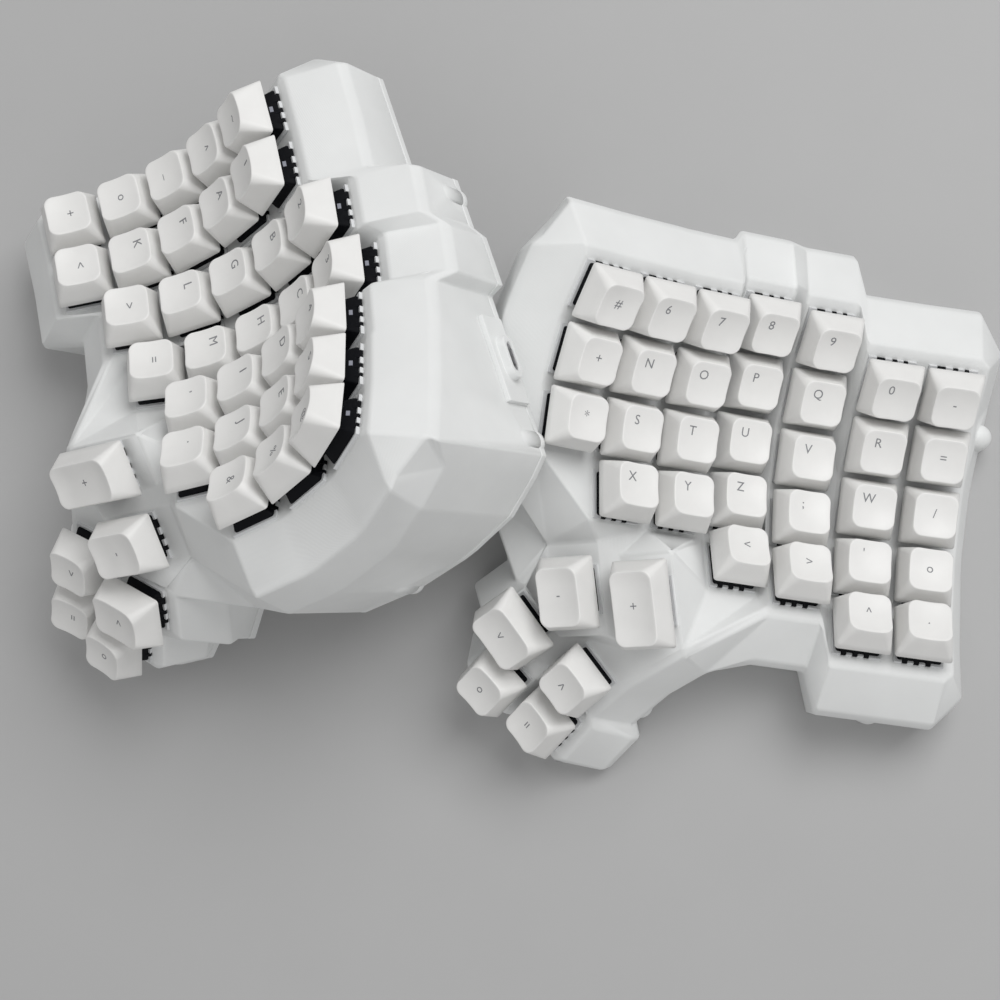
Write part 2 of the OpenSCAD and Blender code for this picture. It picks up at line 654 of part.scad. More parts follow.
cap_faces = concat(
    [for (i = [0:RING - 1]) let (n = (i + 1) % RING) each quad(i, rim_point(i), rim_point(n), n)],
    [for (j = [0:BOWL - 1]) let (m = rim_point(2 * j + 1)) each [
        [rim_point(2 * j), bowl_point(j), m],
        [m, bowl_point(j), bowl_point(j + 1)],
        [m, bowl_point(j + 1), rim_point(2 * j + 2)]
    ]],
    [for (j = [0:BOWL - 1]) let (c = dish_point(j), d = dish_point(j + 1))
        each c == d
            ? [[bowl_point(j), c, bowl_point(j + 1)]]
            : [[bowl_point(j), c, d], [bowl_point(j), d, bowl_point(j + 1)]]],
    [for (q = [0:3]) let (n = (q + 1) % 4, o = q * QUARTER, m = o + ARC + 1, e = (m + 1) % RING)
        each concat(
            [for (s = [0:ARC]) [o + s, o + s + 1, HOLLOW + q]],
            [[m, e, HOLLOW + n], [m, HOLLOW + n, HOLLOW + q]],
            quad(HOLLOW + q, HOLLOW + n, HOLLOW + 4 + n, HOLLOW + 4 + q)
        )],
    quad(HOLLOW + 4, HOLLOW + 5, HOLLOW + 6, HOLLOW + 7)
);

module cap_body(units) {
    post_low = housing_top + socket_gap - cap_level;
    slot = housing_top + cross_height + cross_fit - cap_level;
    half_side = 180 / POST_SIDES;
    polyhedron(points = cap_points((units - 1) * unit), faces = cap_faces, convexity = 4);
    difference() {
        translate([0, 0, post_low]) rotate(half_side) cylinder(
            d = socket_post / cos(half_side), h = cap_height - cap_roof + sink - post_low, $fn = POST_SIDES);
        translate([0, 0, post_low - cut]) linear_extrude(slot - post_low + cut) cross(cross_fit);
    }
}

module keys(list) {
    for (i = list) multmatrix(SEATS[i]) {
        translate([0, 0, cap_level]) cap_body(KEY_UNITS[i]);
        slider_body();
    }
}

module at_seats() {
    for (m = SEATS) multmatrix(m) children();
}

// The left half: its outer front corner and its thumb corner stand on the table,
// and it is tipped back until its base meets the right half's shoulder.
STAND_A = step_at(key(OUTER, LAST_ROW), BR, FRONT);
STAND_B = step_at(thumb(LOW_RIGHT), BL, FRONT);
rest_gap = 0.1;
function mirrored(p) = [-p.x, p.y];
stand_a = mirrored(floor_line[STAND_A]);
stand_b = mirrored(floor_line[STAND_B]);
stand_heading = atan2(stand_b.y - stand_a.y, stand_b.x - stand_a.x);
// The shoulder carries it from the second key on.
rest_points = [for (j = [len(band_sides):LAST_BAND]) outer_rim[STEPS - 1 - j]];
left_x = min([for (p = rest_points) p.x]) - left_reach;
function rest_angle(p) =
    let (q = at(turn_z(-left_turn), p - [left_x, left_y, 0])) atan2(q.z + rest_gap, q.y);
lean = max([for (p = rest_points) rest_angle(p)]);
LEFT_POSE = move([left_x, left_y, 0]) * turn_z(left_turn) * turn_x(lean)
    * turn_z(-stand_heading) * move([-stand_a.x, -stand_a.y, 0]);

module left_half() {
    multmatrix(LEFT_POSE) mirror([1, 0, 0]) children();
}

module both_halves() {
    children();
    left_half() children();
}

// Keys that share a node sit side by side in one row and move along one line.
GROUPS = concat(
    [for (r = [0:LAST_ROW]) [str("little_keys_", r + 1), [key(LITTLE, r), key(OUTER, r)]]],
    [for (r = [0:LAST_ROW]) [str("middle_keys_", r + 1), [key(MIDDLE, r), key(RING_FINGER, r)]]],
    [for (r = [0:INDEX_ROW]) [str("index_keys_", r + 1), [key(NEAR_INDEX, r), key(INDEX, r)]]],
    [for (r = [0:INNER_ROW]) [str("inner_key_", r + 1), [key(INNER, r)]]],
    [["thumb_upper_keys", [thumb(UPPER_LEFT), thumb(UPPER_RIGHT)]]],
    [["thumb_mid_inner_key", [thumb(MID_LEFT)]], ["thumb_mid_outer_key", [thumb(MID_RIGHT)]]],
    [["thumb_low_inner_key", [thumb(LOW_LEFT)]], ["thumb_low_outer_key", [thumb(LOW_RIGHT)]]]
);

module right_case() { color("whitesmoke") case_body(); }
module left_case() { color("whitesmoke") left_half() case_body(); }
module right_base_plate() { color("gainsboro") base_body(); }
module left_base_plate() { color("gainsboro") left_half() base_body(); }
module right_switch_bases() { color("white") at_seats() lower_housing(); }
module left_switch_bases() { color("white") left_half() at_seats() lower_housing(); }
module right_switch_tops() { color("dimgray") at_seats() upper_housing(); }
module left_switch_tops() { color("dimgray") left_half() at_seats() upper_housing(); }
module port_holders() { color("whitesmoke") both_halves() holder_body(); }
module usb_sockets() { color("silver") both_halves() socket_body(); }
module controller_boards() { color("darkslategray") both_halves() board_body(); }
module batteries() { color("lightsteelblue") both_halves() battery_body(); }
module base_screws() { color("gray") both_halves() at_bosses(0) screw_body(); }
module threaded_inserts() { color("goldenrod") both_halves() at_bosses(base_thick) insert_body(); }
module right_keys(list) { color("snow") keys(list); }
module left_keys(list) { color("snow") left_half() keys(list); }

right_case();
left_case();
right_base_plate();
left_base_plate();
right_switch_bases();
left_switch_bases();
right_switch_tops();
left_switch_tops();
port_holders();
usb_sockets();
controller_boards();
batteries();
base_screws();
threaded_inserts();
for (g = GROUPS) right_keys(g[1]);
for (g = GROUPS) left_keys(g[1]);
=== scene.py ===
"""Looks of a split ergonomic keyboard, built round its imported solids.

Two mirrored printed halves carry dished keycaps on switches. The right half stands flat
and the left half leans on it. Lengths are in metres, +Z is up and +Y is to the back. Key
seats follow the same driving sizes as the solids.
"""

import logging
import math
from dataclasses import dataclass, field, replace
from enum import Enum, IntEnum

import bmesh
import bpy
import numpy as np
from mathutils import Matrix, Vector


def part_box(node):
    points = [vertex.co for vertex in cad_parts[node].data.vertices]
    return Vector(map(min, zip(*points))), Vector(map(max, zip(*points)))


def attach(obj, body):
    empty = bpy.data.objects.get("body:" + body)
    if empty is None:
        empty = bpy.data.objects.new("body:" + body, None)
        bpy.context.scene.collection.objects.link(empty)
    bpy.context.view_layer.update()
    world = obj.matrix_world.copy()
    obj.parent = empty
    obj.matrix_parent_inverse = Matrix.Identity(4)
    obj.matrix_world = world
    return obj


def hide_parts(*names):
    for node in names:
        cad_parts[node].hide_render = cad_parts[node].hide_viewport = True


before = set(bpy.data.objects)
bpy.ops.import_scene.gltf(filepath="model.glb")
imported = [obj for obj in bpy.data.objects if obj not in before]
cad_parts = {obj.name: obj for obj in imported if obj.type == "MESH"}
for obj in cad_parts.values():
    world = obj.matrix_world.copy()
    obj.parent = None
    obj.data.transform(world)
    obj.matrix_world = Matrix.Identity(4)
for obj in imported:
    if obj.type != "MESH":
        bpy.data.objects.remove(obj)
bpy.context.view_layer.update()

LOG = logging.getLogger("keyboard")
MM = 0.001
ROOT_BODY = "halves"

# What keys and switches share: heights in the key's frame and the slider's width and length
PLATE = 4 * MM
HOUSING_TOP = 10.6 * MM
SLIDER = (6.8 * MM, 5.6 * MM)

# The noise values between which a finish varies
NOISE_RANGE = (0.3, 0.7)

# Edges of nodes that keep their solids are softened from this angle on, once welded
SOFTENED_ANGLE = math.radians(40)
NODE_WELD = 0.005 * MM

# How far a point may lie from a level and still count as on it
LEVEL_TOLERANCE = 0.0001 * MM

Colour = tuple[float, float, float]
Outline = list[tuple[float, float]]
Faces = list[tuple[int, ...]]


class Side(Enum):
    """The two halves, by the prefix of their node names."""

    RIGHT = "right"
    LEFT = "left"


class Column(IntEnum):
    """Key columns, counted from the thumb side."""

    INNER = 0
    NEAR_INDEX = 1
    INDEX = 2
    MIDDLE = 3
    RING = 4
    LITTLE = 5
    OUTER = 6


class SignPlace(Enum):
    """Where a sign lies on a cap, in millimetres from the cap's middle."""

    CORNER = (-2.0, 2.5)
    MIDDLE = (-0.2, 0.6)


class Edge(Enum):
    """How the shading treats a mesh: the angle over which an edge stays sharp."""

    SOFT = math.radians(60)
    FACETED = math.radians(24)


@dataclass(frozen=True)
class ThumbKey:
    """One key of the thumb cluster.

    Args:
        node: Node that holds the key, without the half's prefix.
        tilt: Turns about X, Y and Z, in degrees.
        place: Place from the cluster's corner, in millimetres.
        sign: Sign on the cap.
        units: Length in key units.
    """

    node: str
    tilt: tuple[float, float, float]
    place: tuple[float, float, float]
    sign: str
    units: float = 1.0


THUMB_KEYS = (
    ThumbKey("thumb_upper_keys", (10, -23, 10), (-11.6, -15.3, 2.6), "+", 1.5),
    ThumbKey("thumb_upper_keys", (10, -23, 10), (-34.9, -14.7, -2.6), "-", 1.25),
    ThumbKey("thumb_mid_outer_key", (-6, -34, 48), (-28.4, -40.2, -12.6), ">"),
    ThumbKey("thumb_mid_inner_key", (6, -34, 40), (-51.1, -25.7, -11.8), "<", 1.25),
    ThumbKey("thumb_low_outer_key", (-16, -33, 54), (-36.8, -55.5, -24.8), "="),
    ThumbKey("thumb_low_inner_key", (-4, -35, 52), (-55.7, -43.5, -23.4), "o"),
)


@dataclass(frozen=True)
class KeySeat:
    """Where one key sits: its node, its frame, its length in units and its cap's sign."""

    node: str
    place: Matrix
    units: float
    sign: str
    sign_place: SignPlace


@dataclass(frozen=True)
class KeyWell:
    """Seats of one half's keys, in the right half's space, with shifts in millimetres."""

    column_bend: float = math.radians(15)
    row_bend: float = math.radians(5)
    tent: float = math.radians(21)
    well_height: float = 23 * MM
    key_frame: float = 17.4 * MM
    plate: float = PLATE
    plain_cap: float = 12.7 * MM
    column_gap: float = 2.5 * MM
    row_gap: float = 0.5 * MM
    middle_shift: tuple[float, float, float] = (0.8, 3.2, -6)
    ring_shift: tuple[float, float, float] = (0, 0.4, 0.4)
    little_shift: tuple[float, float, float] = (-0.4, -12.6, 5.4)
    inner_shift: tuple[float, float, float] = (0, 0, 0.4)
    thumb_shift: tuple[float, float, float] = (3.3, -4.7, 9.2)
    rows: tuple[int, ...] = (3, 4, 4, 5, 5, 5, 5)
    mid_row: int = 2

    def shift(self, column: Column) -> Vector:
        """Looks up a column's own shift from the well's common curve.

        Args:
            column: The column.

        Returns:
            The shift, in metres.
        """
        shifts = {
            Column.INNER: self.inner_shift,
            Column.NEAR_INDEX: self.inner_shift,
            Column.INDEX: (0, 0, 0),
            Column.MIDDLE: self.middle_shift,
            Column.RING: self.ring_shift,
            Column.LITTLE: self.little_shift,
            Column.OUTER: self.little_shift,
        }
        return Vector(shifts[column]) * MM

    def seat(self, column: Column, row: int) -> Matrix:
        """Places a key of the well.

        Args:
            column: Column of the key.
            row: Row of the key, from the back.

        Returns:
            The key's frame, with its origin on the underside of the plate.
        """
        pivot = self.plate + self.plain_cap
        row_pitch, column_pitch = self.key_frame + self.row_gap, self.key_frame + self.column_gap
        column_radius = row_pitch / 2 / math.sin(self.column_bend / 2) + pivot
        row_radius = column_pitch / 2 / math.sin(self.row_bend / 2) + pivot
        return (
            Matrix.Translation((0, 0, self.well_height))
            @ Matrix.Rotation(self.tent, 4, "Y")
            @ Matrix.Translation(self.shift(column) + Vector((0, 0, row_radius)))
            @ Matrix.Rotation(self.row_bend * (Column.MIDDLE - column), 4, "Y")
            @ Matrix.Translation((0, 0, column_radius - row_radius))
            @ Matrix.Rotation(self.column_bend * (self.mid_row - row), 4, "X")
            @ Matrix.Translation((0, 0, -column_radius))
        )

    def thumb_seat(self, key: ThumbKey) -> Matrix:
        """Places a key of the thumb cluster.

        Args:
            key: The key.

        Returns:
            The key's frame, with its origin on the underside of the plate.
        """
        last = self.seat(Column.INDEX, self.rows[Column.INDEX] - 1)
        half = self.key_frame / 2
        corner = last @ Vector((half, -half, 0)) + Vector(self.thumb_shift) * MM
        turn_x, turn_y, turn_z = (math.radians(a) for a in key.tilt)
        return (
            Matrix.Translation(corner + Vector(key.place) * MM)
            @ Matrix.Rotation(turn_z, 4, "Z")
            @ Matrix.Rotation(turn_y, 4, "Y")
            @ Matrix.Rotation(turn_x, 4, "X")
        )

    @staticmethod
    def node_of(column: Column, row: int) -> str:
        """Names the node that holds a key of the well.

        Args:
            column: Column of the key.
            row: Row of the key, from the back.

        Returns:
            The node's name, without the half's prefix.
        """
        stems = ("inner_key", "index_keys", "index_keys", "middle_keys", "middle_keys",
                 "little_keys", "little_keys")
        return f"{stems[column]}_{row + 1}"

    def seats(self, legends: "Legends") -> list[KeySeat]:
        """Lists all seats of a half.

        Args:
            legends: The signs printed on that half's caps.

        Returns:
            The well's seats column by column, then the thumb cluster's.
        """
        well = [
            KeySeat(self.node_of(c, r), self.seat(c, r), 1.0, legends.sign(c, r),
                    legends.place(c, r))
            for c in Column
            for r in range(self.rows[c])
        ]
        return well + [
            KeySeat(k.node, self.thumb_seat(k), k.units, k.sign, SignPlace.MIDDLE)
            for k in THUMB_KEYS
        ]


@dataclass(frozen=True)
class Legends:
    """Plain signs of one half: digits and the alphabet in order, with simple marks round them.

    Args:
        rows: The signs of each row from the back, from left to right.
        left_to_right: The columns in that order.
        marks_row: The row that holds marks alone.
    """

    rows: tuple[str, ...]
    left_to_right: tuple[Column, ...]
    marks_row: int = 4

    def sign(self, column: Column, row: int) -> str:
        """Returns the sign of one cap."""
        return self.rows[row][self.left_to_right.index(column)].strip()

    def place(self, column: Column, row: int) -> SignPlace:
        """Returns where a cap's sign lies: marks in the middle, the rest in a corner."""
        marked = column in (Column.INNER, Column.OUTER) or row == self.marks_row
        return SignPlace.MIDDLE if marked else SignPlace.CORNER


LEGENDS = {
    Side.RIGHT: Legends(
        ("#67890-", "+NOPQR=", "*STUVW/", " XYZ;'o", "   <>^."), tuple(Column)),
    Side.LEFT: Legends(
        ("~12345@", "^ABCDE%", "_FGHIJ&", "oKLM,. ", "+<>=   "), tuple(Column)[::-1]),
}


@dataclass(frozen=True)
class HalfPlaces:
    """Where the two halves stand. The left half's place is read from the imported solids."""

    mirror: Matrix = field(default_factory=lambda: Matrix.Diagonal((-1, 1, 1, 1)))

    @staticmethod
    def centroid(node: str) -> np.ndarray:
        """Finds the middle of a node's surface.

        Args:
            node: Name of the node.

        Returns:
            The mean of its triangles' middles, weighted by their areas.
        """
        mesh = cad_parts[node].data
        mesh.calc_loop_triangles()
        points = np.array([v.co for v in mesh.vertices])
        corners = points[np.array([t.vertices for t in mesh.loop_triangles])]
        sides = corners[:, 1:] - corners[:, :1]
        area = np.linalg.norm(np.cross(sides[:, 0], sides[:, 1]), axis=1)
        return (corners.mean(axis=1) * area[:, None]).sum(axis=0) / area.sum()

    def left_pose(self, key_nodes: list[str]) -> Matrix:
        """Fits the move that lays the mirrored right half on the left half.

        Args:
            key_nodes: Key nodes, without the half's prefix.

        Returns:
            The rigid move, to be used after the mirror.
        """
        start = np.array([self.centroid(f"right_{n}") for n in key_nodes]) * (-1, 1, 1)
        end = np.array([self.centroid(f"left_{n}") for n in key_nodes])
        start_mid, end_mid = start.mean(axis=0), end.mean(axis=0)
        u, _, vt = np.linalg.svd((start - start_mid).T @ (end - end_mid))
        handed = np.diag((1.0, 1.0, np.sign(np.linalg.det(u @ vt))))
        turn = vt.T @ handed @ u.T
        pose = Matrix(turn.tolist()).to_4x4()
        pose.translation = Vector(end_mid - turn @ start_mid)
        return pose

    def seat_in_part(self, side: Side, pose: Matrix, seat: Matrix) -> Matrix:
        """Moves a seat into the part's frame, as a right-handed frame on both halves."""
        return seat if side is Side.RIGHT else pose @ self.mirror @ seat @ self.mirror


class Graph:
    """A material's node tree, with short calls to add and link nodes."""

    def __init__(self, name: str) -> None:
        """Starts a material with one principled shader.

        Args:
            name: Name of the material.
        """
        self.material = bpy.data.materials.new(name)
        self.material.use_nodes = True
        self.tree = self.material.node_tree
        self.shader = self.tree.nodes["Principled BSDF"]
        self.coordinates = self.node("ShaderNodeTexCoord").outputs["Object"]

    def node(self, kind: str, **inputs: object) -> bpy.types.Node:
        """Adds a node.

        Args:
            kind: Blender's name of the node type.
            inputs: Values of input sockets, with spaces in their names as underscores.

        Returns:
            The new node.
        """
        made = self.tree.nodes.new(kind)
        for name, value in inputs.items():
            made.inputs[name.replace("_", " ")].default_value = value
        return made

    def link(self, source: bpy.types.NodeSocket, target: bpy.types.NodeSocket) -> None:
        """Links two sockets."""
        self.tree.links.new(source, target)

    def set(self, **values: object) -> None:
        """Sets constant values on the shader's own sockets."""
        for name, value in values.items():
            self.shader.inputs[name.replace("_", " ")].default_value = value

    def noise(self, size: float, detail: float = 3.0) -> bpy.types.NodeSocket:
        """Adds noise.

        Args:
            size: Width of its blotches, about.
            detail: How much finer noise it holds.

        Returns:
            A value from 0 to 1.
        """
        made = self.node("ShaderNodeTexNoise", Scale=1 / size, Detail=detail)
        self.link(self.coordinates, made.inputs["Vector"])
        return made.outputs["Fac"]

    def layers(self, pitch: float, up: Vector) -> bpy.types.NodeSocket:
        """Returns a wave along one direction, for the layers of a print.

        Args:
            pitch: Height of one layer.
            up: Direction in which the layers were laid.

        Returns:
            A value from -1 to 1.
        """
        along = self.tree.nodes.new("ShaderNodeVectorMath")
        along.operation = "DOT_PRODUCT"
        along.inputs[1].default_value = up * (2 * math.pi / pitch)
        self.link(self.coordinates, along.inputs[0])
        wave = self.tree.nodes.new("ShaderNodeMath")
        wave.operation = "SINE"
        self.link(along.outputs["Value"], wave.inputs[0])
        return wave.outputs[0]

    def spread(self, noise: bpy.types.NodeSocket, low: float, high: float) -> bpy.types.NodeSocket:
        """Varies a number by the noise at each place.

        Args:
            noise: The noise.
            low: The number where the noise is low.
            high: The number where it is high.

        Returns:
            The number.
        """
        made = self.tree.nodes.new("ShaderNodeMapRange")
        for number, setting in enumerate((*NOISE_RANGE, low, high), 1):
            made.inputs[number].default_value = setting
        self.link(noise, made.inputs[0])
        return made.outputs[0]

    def mottle(self, noise: bpy.types.NodeSocket, colour: Colour, shade: float) -> None:
        """Colours the surface between a colour and a shade of it, by the noise at each place.

        Args:
            noise: The noise.
            colour: The colour where the noise is high.
            shade: How bright the shade is beside the colour.
        """
        ramp = self.tree.nodes.new("ShaderNodeValToRGB")
        tones = (tuple(min(1.0, c * shade) for c in colour), colour)
        for stop, place, tone in zip(ramp.color_ramp.elements, NOISE_RANGE, tones):
            stop.position = place
            stop.color = (*tone, 1.0)
        self.link(noise, ramp.inputs[0])
        self.link(ramp.outputs["Color"], self.shader.inputs["Base Color"])

    def add(self, first: bpy.types.NodeSocket, second: bpy.types.NodeSocket,
            share: float) -> bpy.types.NodeSocket:
        """Adds a share of one value to another.

        Args:
            first: The value that is kept whole.
            second: The value that is added.
            share: The share of it.

        Returns:
            The sum.
        """
        made = self.tree.nodes.new("ShaderNodeMath")
        made.operation = "MULTIPLY_ADD"
        self.link(second, made.inputs[0])
        made.inputs[1].default_value = share
        self.link(first, made.inputs[2])
        return made.outputs[0]

    def bump(self, height: bpy.types.NodeSocket, depth: float) -> None:
        """Bumps the surface by a height at each place.

        Args:
            height: The height, as a share of the depth.
            depth: The depth, in metres.
        """
        made = self.node("ShaderNodeBump", Strength=1.0, Distance=depth)
        self.link(height, made.inputs["Height"])
        self.link(made.outputs["Normal"], self.shader.inputs["Normal"])


@dataclass(frozen=True)
class PrintedPlastic:
    """Matte white printed plastic with faint layers and a slightly mottled tone."""

    name: str
    up: tuple[float, float, float]
    colour: Colour = (0.84, 0.85, 0.845)
    mottle: float = 0.965
    layer: float = 0.28 * MM
    grain: float = 0.5 * MM
    grain_share: float = 1.5
    blotch: float = 14 * MM
    blotch_detail: float = 4.0
    depth: float = 0.005 * MM
    roughness: tuple[float, float] = (0.5, 0.66)
    specular: float = 0.35

    def build(self) -> bpy.types.Material:
        """Builds the finish.

        Returns:
            The material.
        """
        graph = Graph(self.name)
        blotches = graph.noise(self.blotch, self.blotch_detail)
        grain = graph.noise(self.grain)
        graph.mottle(blotches, self.colour, self.mottle)
        graph.link(graph.spread(grain, *self.roughness), graph.shader.inputs["Roughness"])
        layers = graph.layers(self.layer, Vector(self.up))
        graph.bump(graph.add(layers, grain, self.grain_share), self.depth)
        graph.set(Specular_IOR_Level=self.specular)
        return graph.material


@dataclass(frozen=True)
class MouldedPlastic:
    """Moulded plastic with a fine sparked grain, shinier where its wear attribute is high."""

    name: str
    colour: Colour
    mottle: float = 0.96
    grain: float = 0.22 * MM
    grain_detail: float = 2.0
    blotch: float = 9 * MM
    blotch_detail: float = 4.0
    depth: float = 0.008 * MM
    roughness: float = 0.5
    roughness_spread: float = 0.05
    polish: float = 0.1
    specular: float = 0.45
    wear: str = ""

    def build(self) -> bpy.types.Material:
        """Builds the finish.

        Returns:
            The material.
        """
        graph = Graph(self.name)
        blotches = graph.noise(self.blotch, self.blotch_detail)
        grain = graph.noise(self.grain, self.grain_detail)
        graph.mottle(blotches, self.colour, self.mottle)
        spread = self.roughness_spread
        rough = graph.spread(grain, self.roughness - spread, self.roughness + spread)
        if self.wear:
            worn = graph.tree.nodes.new("ShaderNodeAttribute")
            worn.attribute_name = self.wear
            rough = graph.add(rough, worn.outputs["Fac"], -self.polish)
        graph.link(rough, graph.shader.inputs["Roughness"])
        graph.bump(grain, self.depth)
        graph.set(Specular_IOR_Level=self.specular)
        return graph.material


@dataclass(frozen=True)
class WorkedMetal:
    """Plated or turned metal with fine streaks and slight tarnish."""

    name: str
    colour: Colour
    tarnish: float = 0.8
    blotch: float = 3 * MM
    blotch_detail: float = 5.0
    streak: float = 0.15 * MM
    roughness: tuple[float, float] = (0.22, 0.4)
    depth: float = 0.004 * MM

    def build(self) -> bpy.types.Material:
        """Builds the finish.

        Returns:
            The material.
        """
        graph = Graph(self.name)
        blotches = graph.noise(self.blotch, self.blotch_detail)
        streaks = graph.noise(self.streak)
        graph.mottle(blotches, self.colour, self.tarnish)
        graph.link(graph.spread(blotches, *self.roughness), graph.shader.inputs["Roughness"])
        graph.bump(streaks, self.depth)
        graph.set(Metallic=1.0)
        return graph.material


@dataclass(frozen=True)
class Palette:
    """All materials of the part, built once."""

    shells: dict[Side, bpy.types.Material]
    cap: bpy.types.Material
    ink: bpy.types.Material
    slider: bpy.types.Material
    dark_housing: bpy.types.Material
    pale_housing: bpy.types.Material
    pin: bpy.types.Material
    steel: bpy.types.Material
    black_steel: bpy.types.Material
    brass: bpy.types.Material
    board: bpy.types.Material
    foil: bpy.types.Material

    @classmethod
    def build(cls, left_up: Vector) -> "Palette":
        """Builds the materials.

        Args:
            left_up: Direction in which the left half was printed.

        Returns:
            The palette.
        """
        plastic, metal = MouldedPlastic, WorkedMetal
        return cls(
            shells={
                Side.RIGHT: PrintedPlastic("printed_white_right", (0.0, 0.0, 1.0)).build(),
                Side.LEFT: PrintedPlastic("printed_white_left", tuple(left_up)).build(),
            },
            cap=plastic("cap_white", (0.875, 0.87, 0.855), wear="wear").build(),
            ink=plastic("legend_ink", (0.27, 0.275, 0.29), mottle=0.8, roughness=0.6).build(),
            slider=plastic("slider_white", (0.72, 0.73, 0.75), roughness=0.35).build(),
            dark_housing=plastic("housing_black", (0.004, 0.0045, 0.0065), mottle=0.7,
                                 roughness=0.55, specular=0.12).build(),
            pale_housing=plastic("housing_white", (0.74, 0.75, 0.76), roughness=0.34).build(),
            pin=plastic("pin_grey", (0.30, 0.31, 0.36), roughness=0.3).build(),
            steel=metal("socket_steel", (0.62, 0.62, 0.63)).build(),
            black_steel=metal("screw_steel", (0.09, 0.09, 0.1), roughness=(0.3, 0.48)).build(),
            brass=metal("insert_brass", (0.72, 0.5, 0.2)).build(),
            board=plastic("board_green", (0.012, 0.06, 0.04), mottle=0.6, roughness=0.32).build(),
            foil=metal("cell_foil", (0.66, 0.68, 0.7), streak=1.5 * MM, depth=0.05 * MM).build(),
        )


@dataclass
class Solid:
    """A closed form, with a finish number for each face and a wear value for each point."""

    points: np.ndarray
    faces: Faces
    finishes: list[int]
    wear: np.ndarray

    @classmethod
    def plain(cls, points: np.ndarray, faces: Faces, finish: int = 0) -> "Solid":
        """Returns a solid of one finish with no wear."""
        return cls(np.asarray(points, float), faces, [finish] * len(faces), np.zeros(len(points)))

    @classmethod
    def from_bmesh(cls, draft: bmesh.types.BMesh, finish: int = 0) -> "Solid":
        """Takes the points and faces of a draft mesh, which is then freed.

        Args:
            draft: The draft mesh.
            finish: Finish number of its faces.

        Returns:
            The solid.
        """
        draft.verts.index_update()
        points = np.array([v.co for v in draft.verts])
        faces = [tuple(v.index for v in f.verts) for f in draft.faces]
        draft.free()
        return cls.plain(points, faces, finish)

    def moved(self, place: Matrix) -> "Solid":
        """Moves the solid.

        Args:
            place: The move.

        Returns:
            The moved solid, as a new one.
        """
        turn = np.array(place.to_3x3())
        points = self.points @ turn.T + np.array(place.translation)
        return Solid(points, self.faces, self.finishes, self.wear)

    @staticmethod
    def joined(solids: list["Solid"]) -> "Solid":
        """Joins several solids into one.

        Args:
            solids: The solids, which stay as they are.

        Returns:
            The joined solid.
        """
        faces: Faces = []
        first = 0
        for solid in solids:
            faces += [tuple(i + first for i in face) for face in solid.faces]
            first += len(solid.points)
        return Solid(
            np.concatenate([s.points for s in solids]),
            faces,
            [f for s in solids for f in s.finishes],
            np.concatenate([s.wear for s in solids]),
        )

    def to_object(self, name: str, materials: list[bpy.types.Material],
                  edge: Edge) -> bpy.types.Object:
        """Makes a Blender object of the solid.

        Args:
            name: Name of the piece.
            materials: Materials in the order of the finish numbers.
            edge: How edges are shaded.

        Returns:
            The object, linked to the scene.
        """
        mesh = bpy.data.meshes.new(name)
        mesh.from_pydata(self.points.tolist(), [], self.faces)
        for material in materials:
            mesh.materials.append(material)
        mesh.polygons.foreach_set("material_index", self.finishes)
        mesh.shade_smooth()
        mesh.set_sharp_from_angle(angle=edge.value)
        if self.wear.any():
            mesh.attributes.new("wear", "FLOAT", "POINT").data.foreach_set("value", self.wear)
        made = bpy.data.objects.new(name, mesh)
        bpy.context.scene.collection.objects.link(made)
        return made


def bevelled(draft: bmesh.types.BMesh, width: float, steps: int = 2) -> bmesh.types.BMesh:
    """Rounds all sharp edges of a draft mesh.

    Args:
        draft: The draft mesh.
        width: Width of the rounding.
        steps: Faces across the rounding.

    Returns:
        The same draft mesh.
    """
    sharp = [e for e in draft.edges if e.calc_face_angle(0) > Edge.FACETED.value]
    bmesh.ops.bevel(draft, geom=sharp, offset=width, segments=steps, profile=0.5,
                    affect="EDGES", clamp_overlap=True)
    return draft


def prism(outline: Outline, low: float, high: float) -> bmesh.types.BMesh:
    """Draws a closed prism on an outline.

    Args:
        outline: Points of the outline, anticlockwise.
        low: Height of the lower face.
        high: Height of the upper face.

    Returns:
        A draft mesh.
    """
    draft = bmesh.new()
    lower = [draft.verts.new((x, y, low)) for x, y in outline]
    upper = [draft.verts.new((x, y, high)) for x, y in outline]
    draft.faces.new(lower[::-1])
    draft.faces.new(upper)
    count = len(outline)
    for i in range(count):
        n = (i + 1) % count
        draft.faces.new((lower[i], lower[n], upper[n], upper[i]))
    return draft


def pierced(draft: bmesh.types.BMesh, hole: Outline, low: float, high: float) -> bmesh.types.BMesh:
    """Cuts a hole through the lower and the upper face of a prism.

    Args:
        draft: The draft mesh of the prism.
        hole: Corners of the hole, anticlockwise.
        low: Height of the lower face.
        high: Height of the upper face.

    Returns:
        The same draft mesh.
    """
    mouths = []
    for level in (low, high):
        flat = [f for f in draft.faces
                if all(abs(v.co.z - level) <= LEVEL_TOLERANCE for v in f.verts)]
        face = max(flat, key=lambda f: f.calc_area())
        rim = list(face.edges)
        bmesh.ops.delete(draft, geom=[face], context="FACES_ONLY")
        mouth = [draft.verts.new((x, y, level)) for x, y in hole]
        edges = [draft.edges.new(pair) for pair in zip(mouth, mouth[1:] + mouth[:1])]
        bmesh.ops.triangle_fill(draft, edges=rim + edges, use_beauty=True)
        mouths.append(mouth)
    lower, upper = mouths
    for i in range(len(hole)):
        draft.faces.new((lower[i - 1], upper[i - 1], upper[i], lower[i]))
    bmesh.ops.recalc_face_normals(draft, faces=draft.faces)
    return draft


def rectangle(width: float, length: float) -> Outline:
    """Returns the corners of a centred rectangle, anticlockwise."""
    x, y = width / 2, length / 2
    return [(-x, -y), (x, -y), (x, y), (-x, y)]


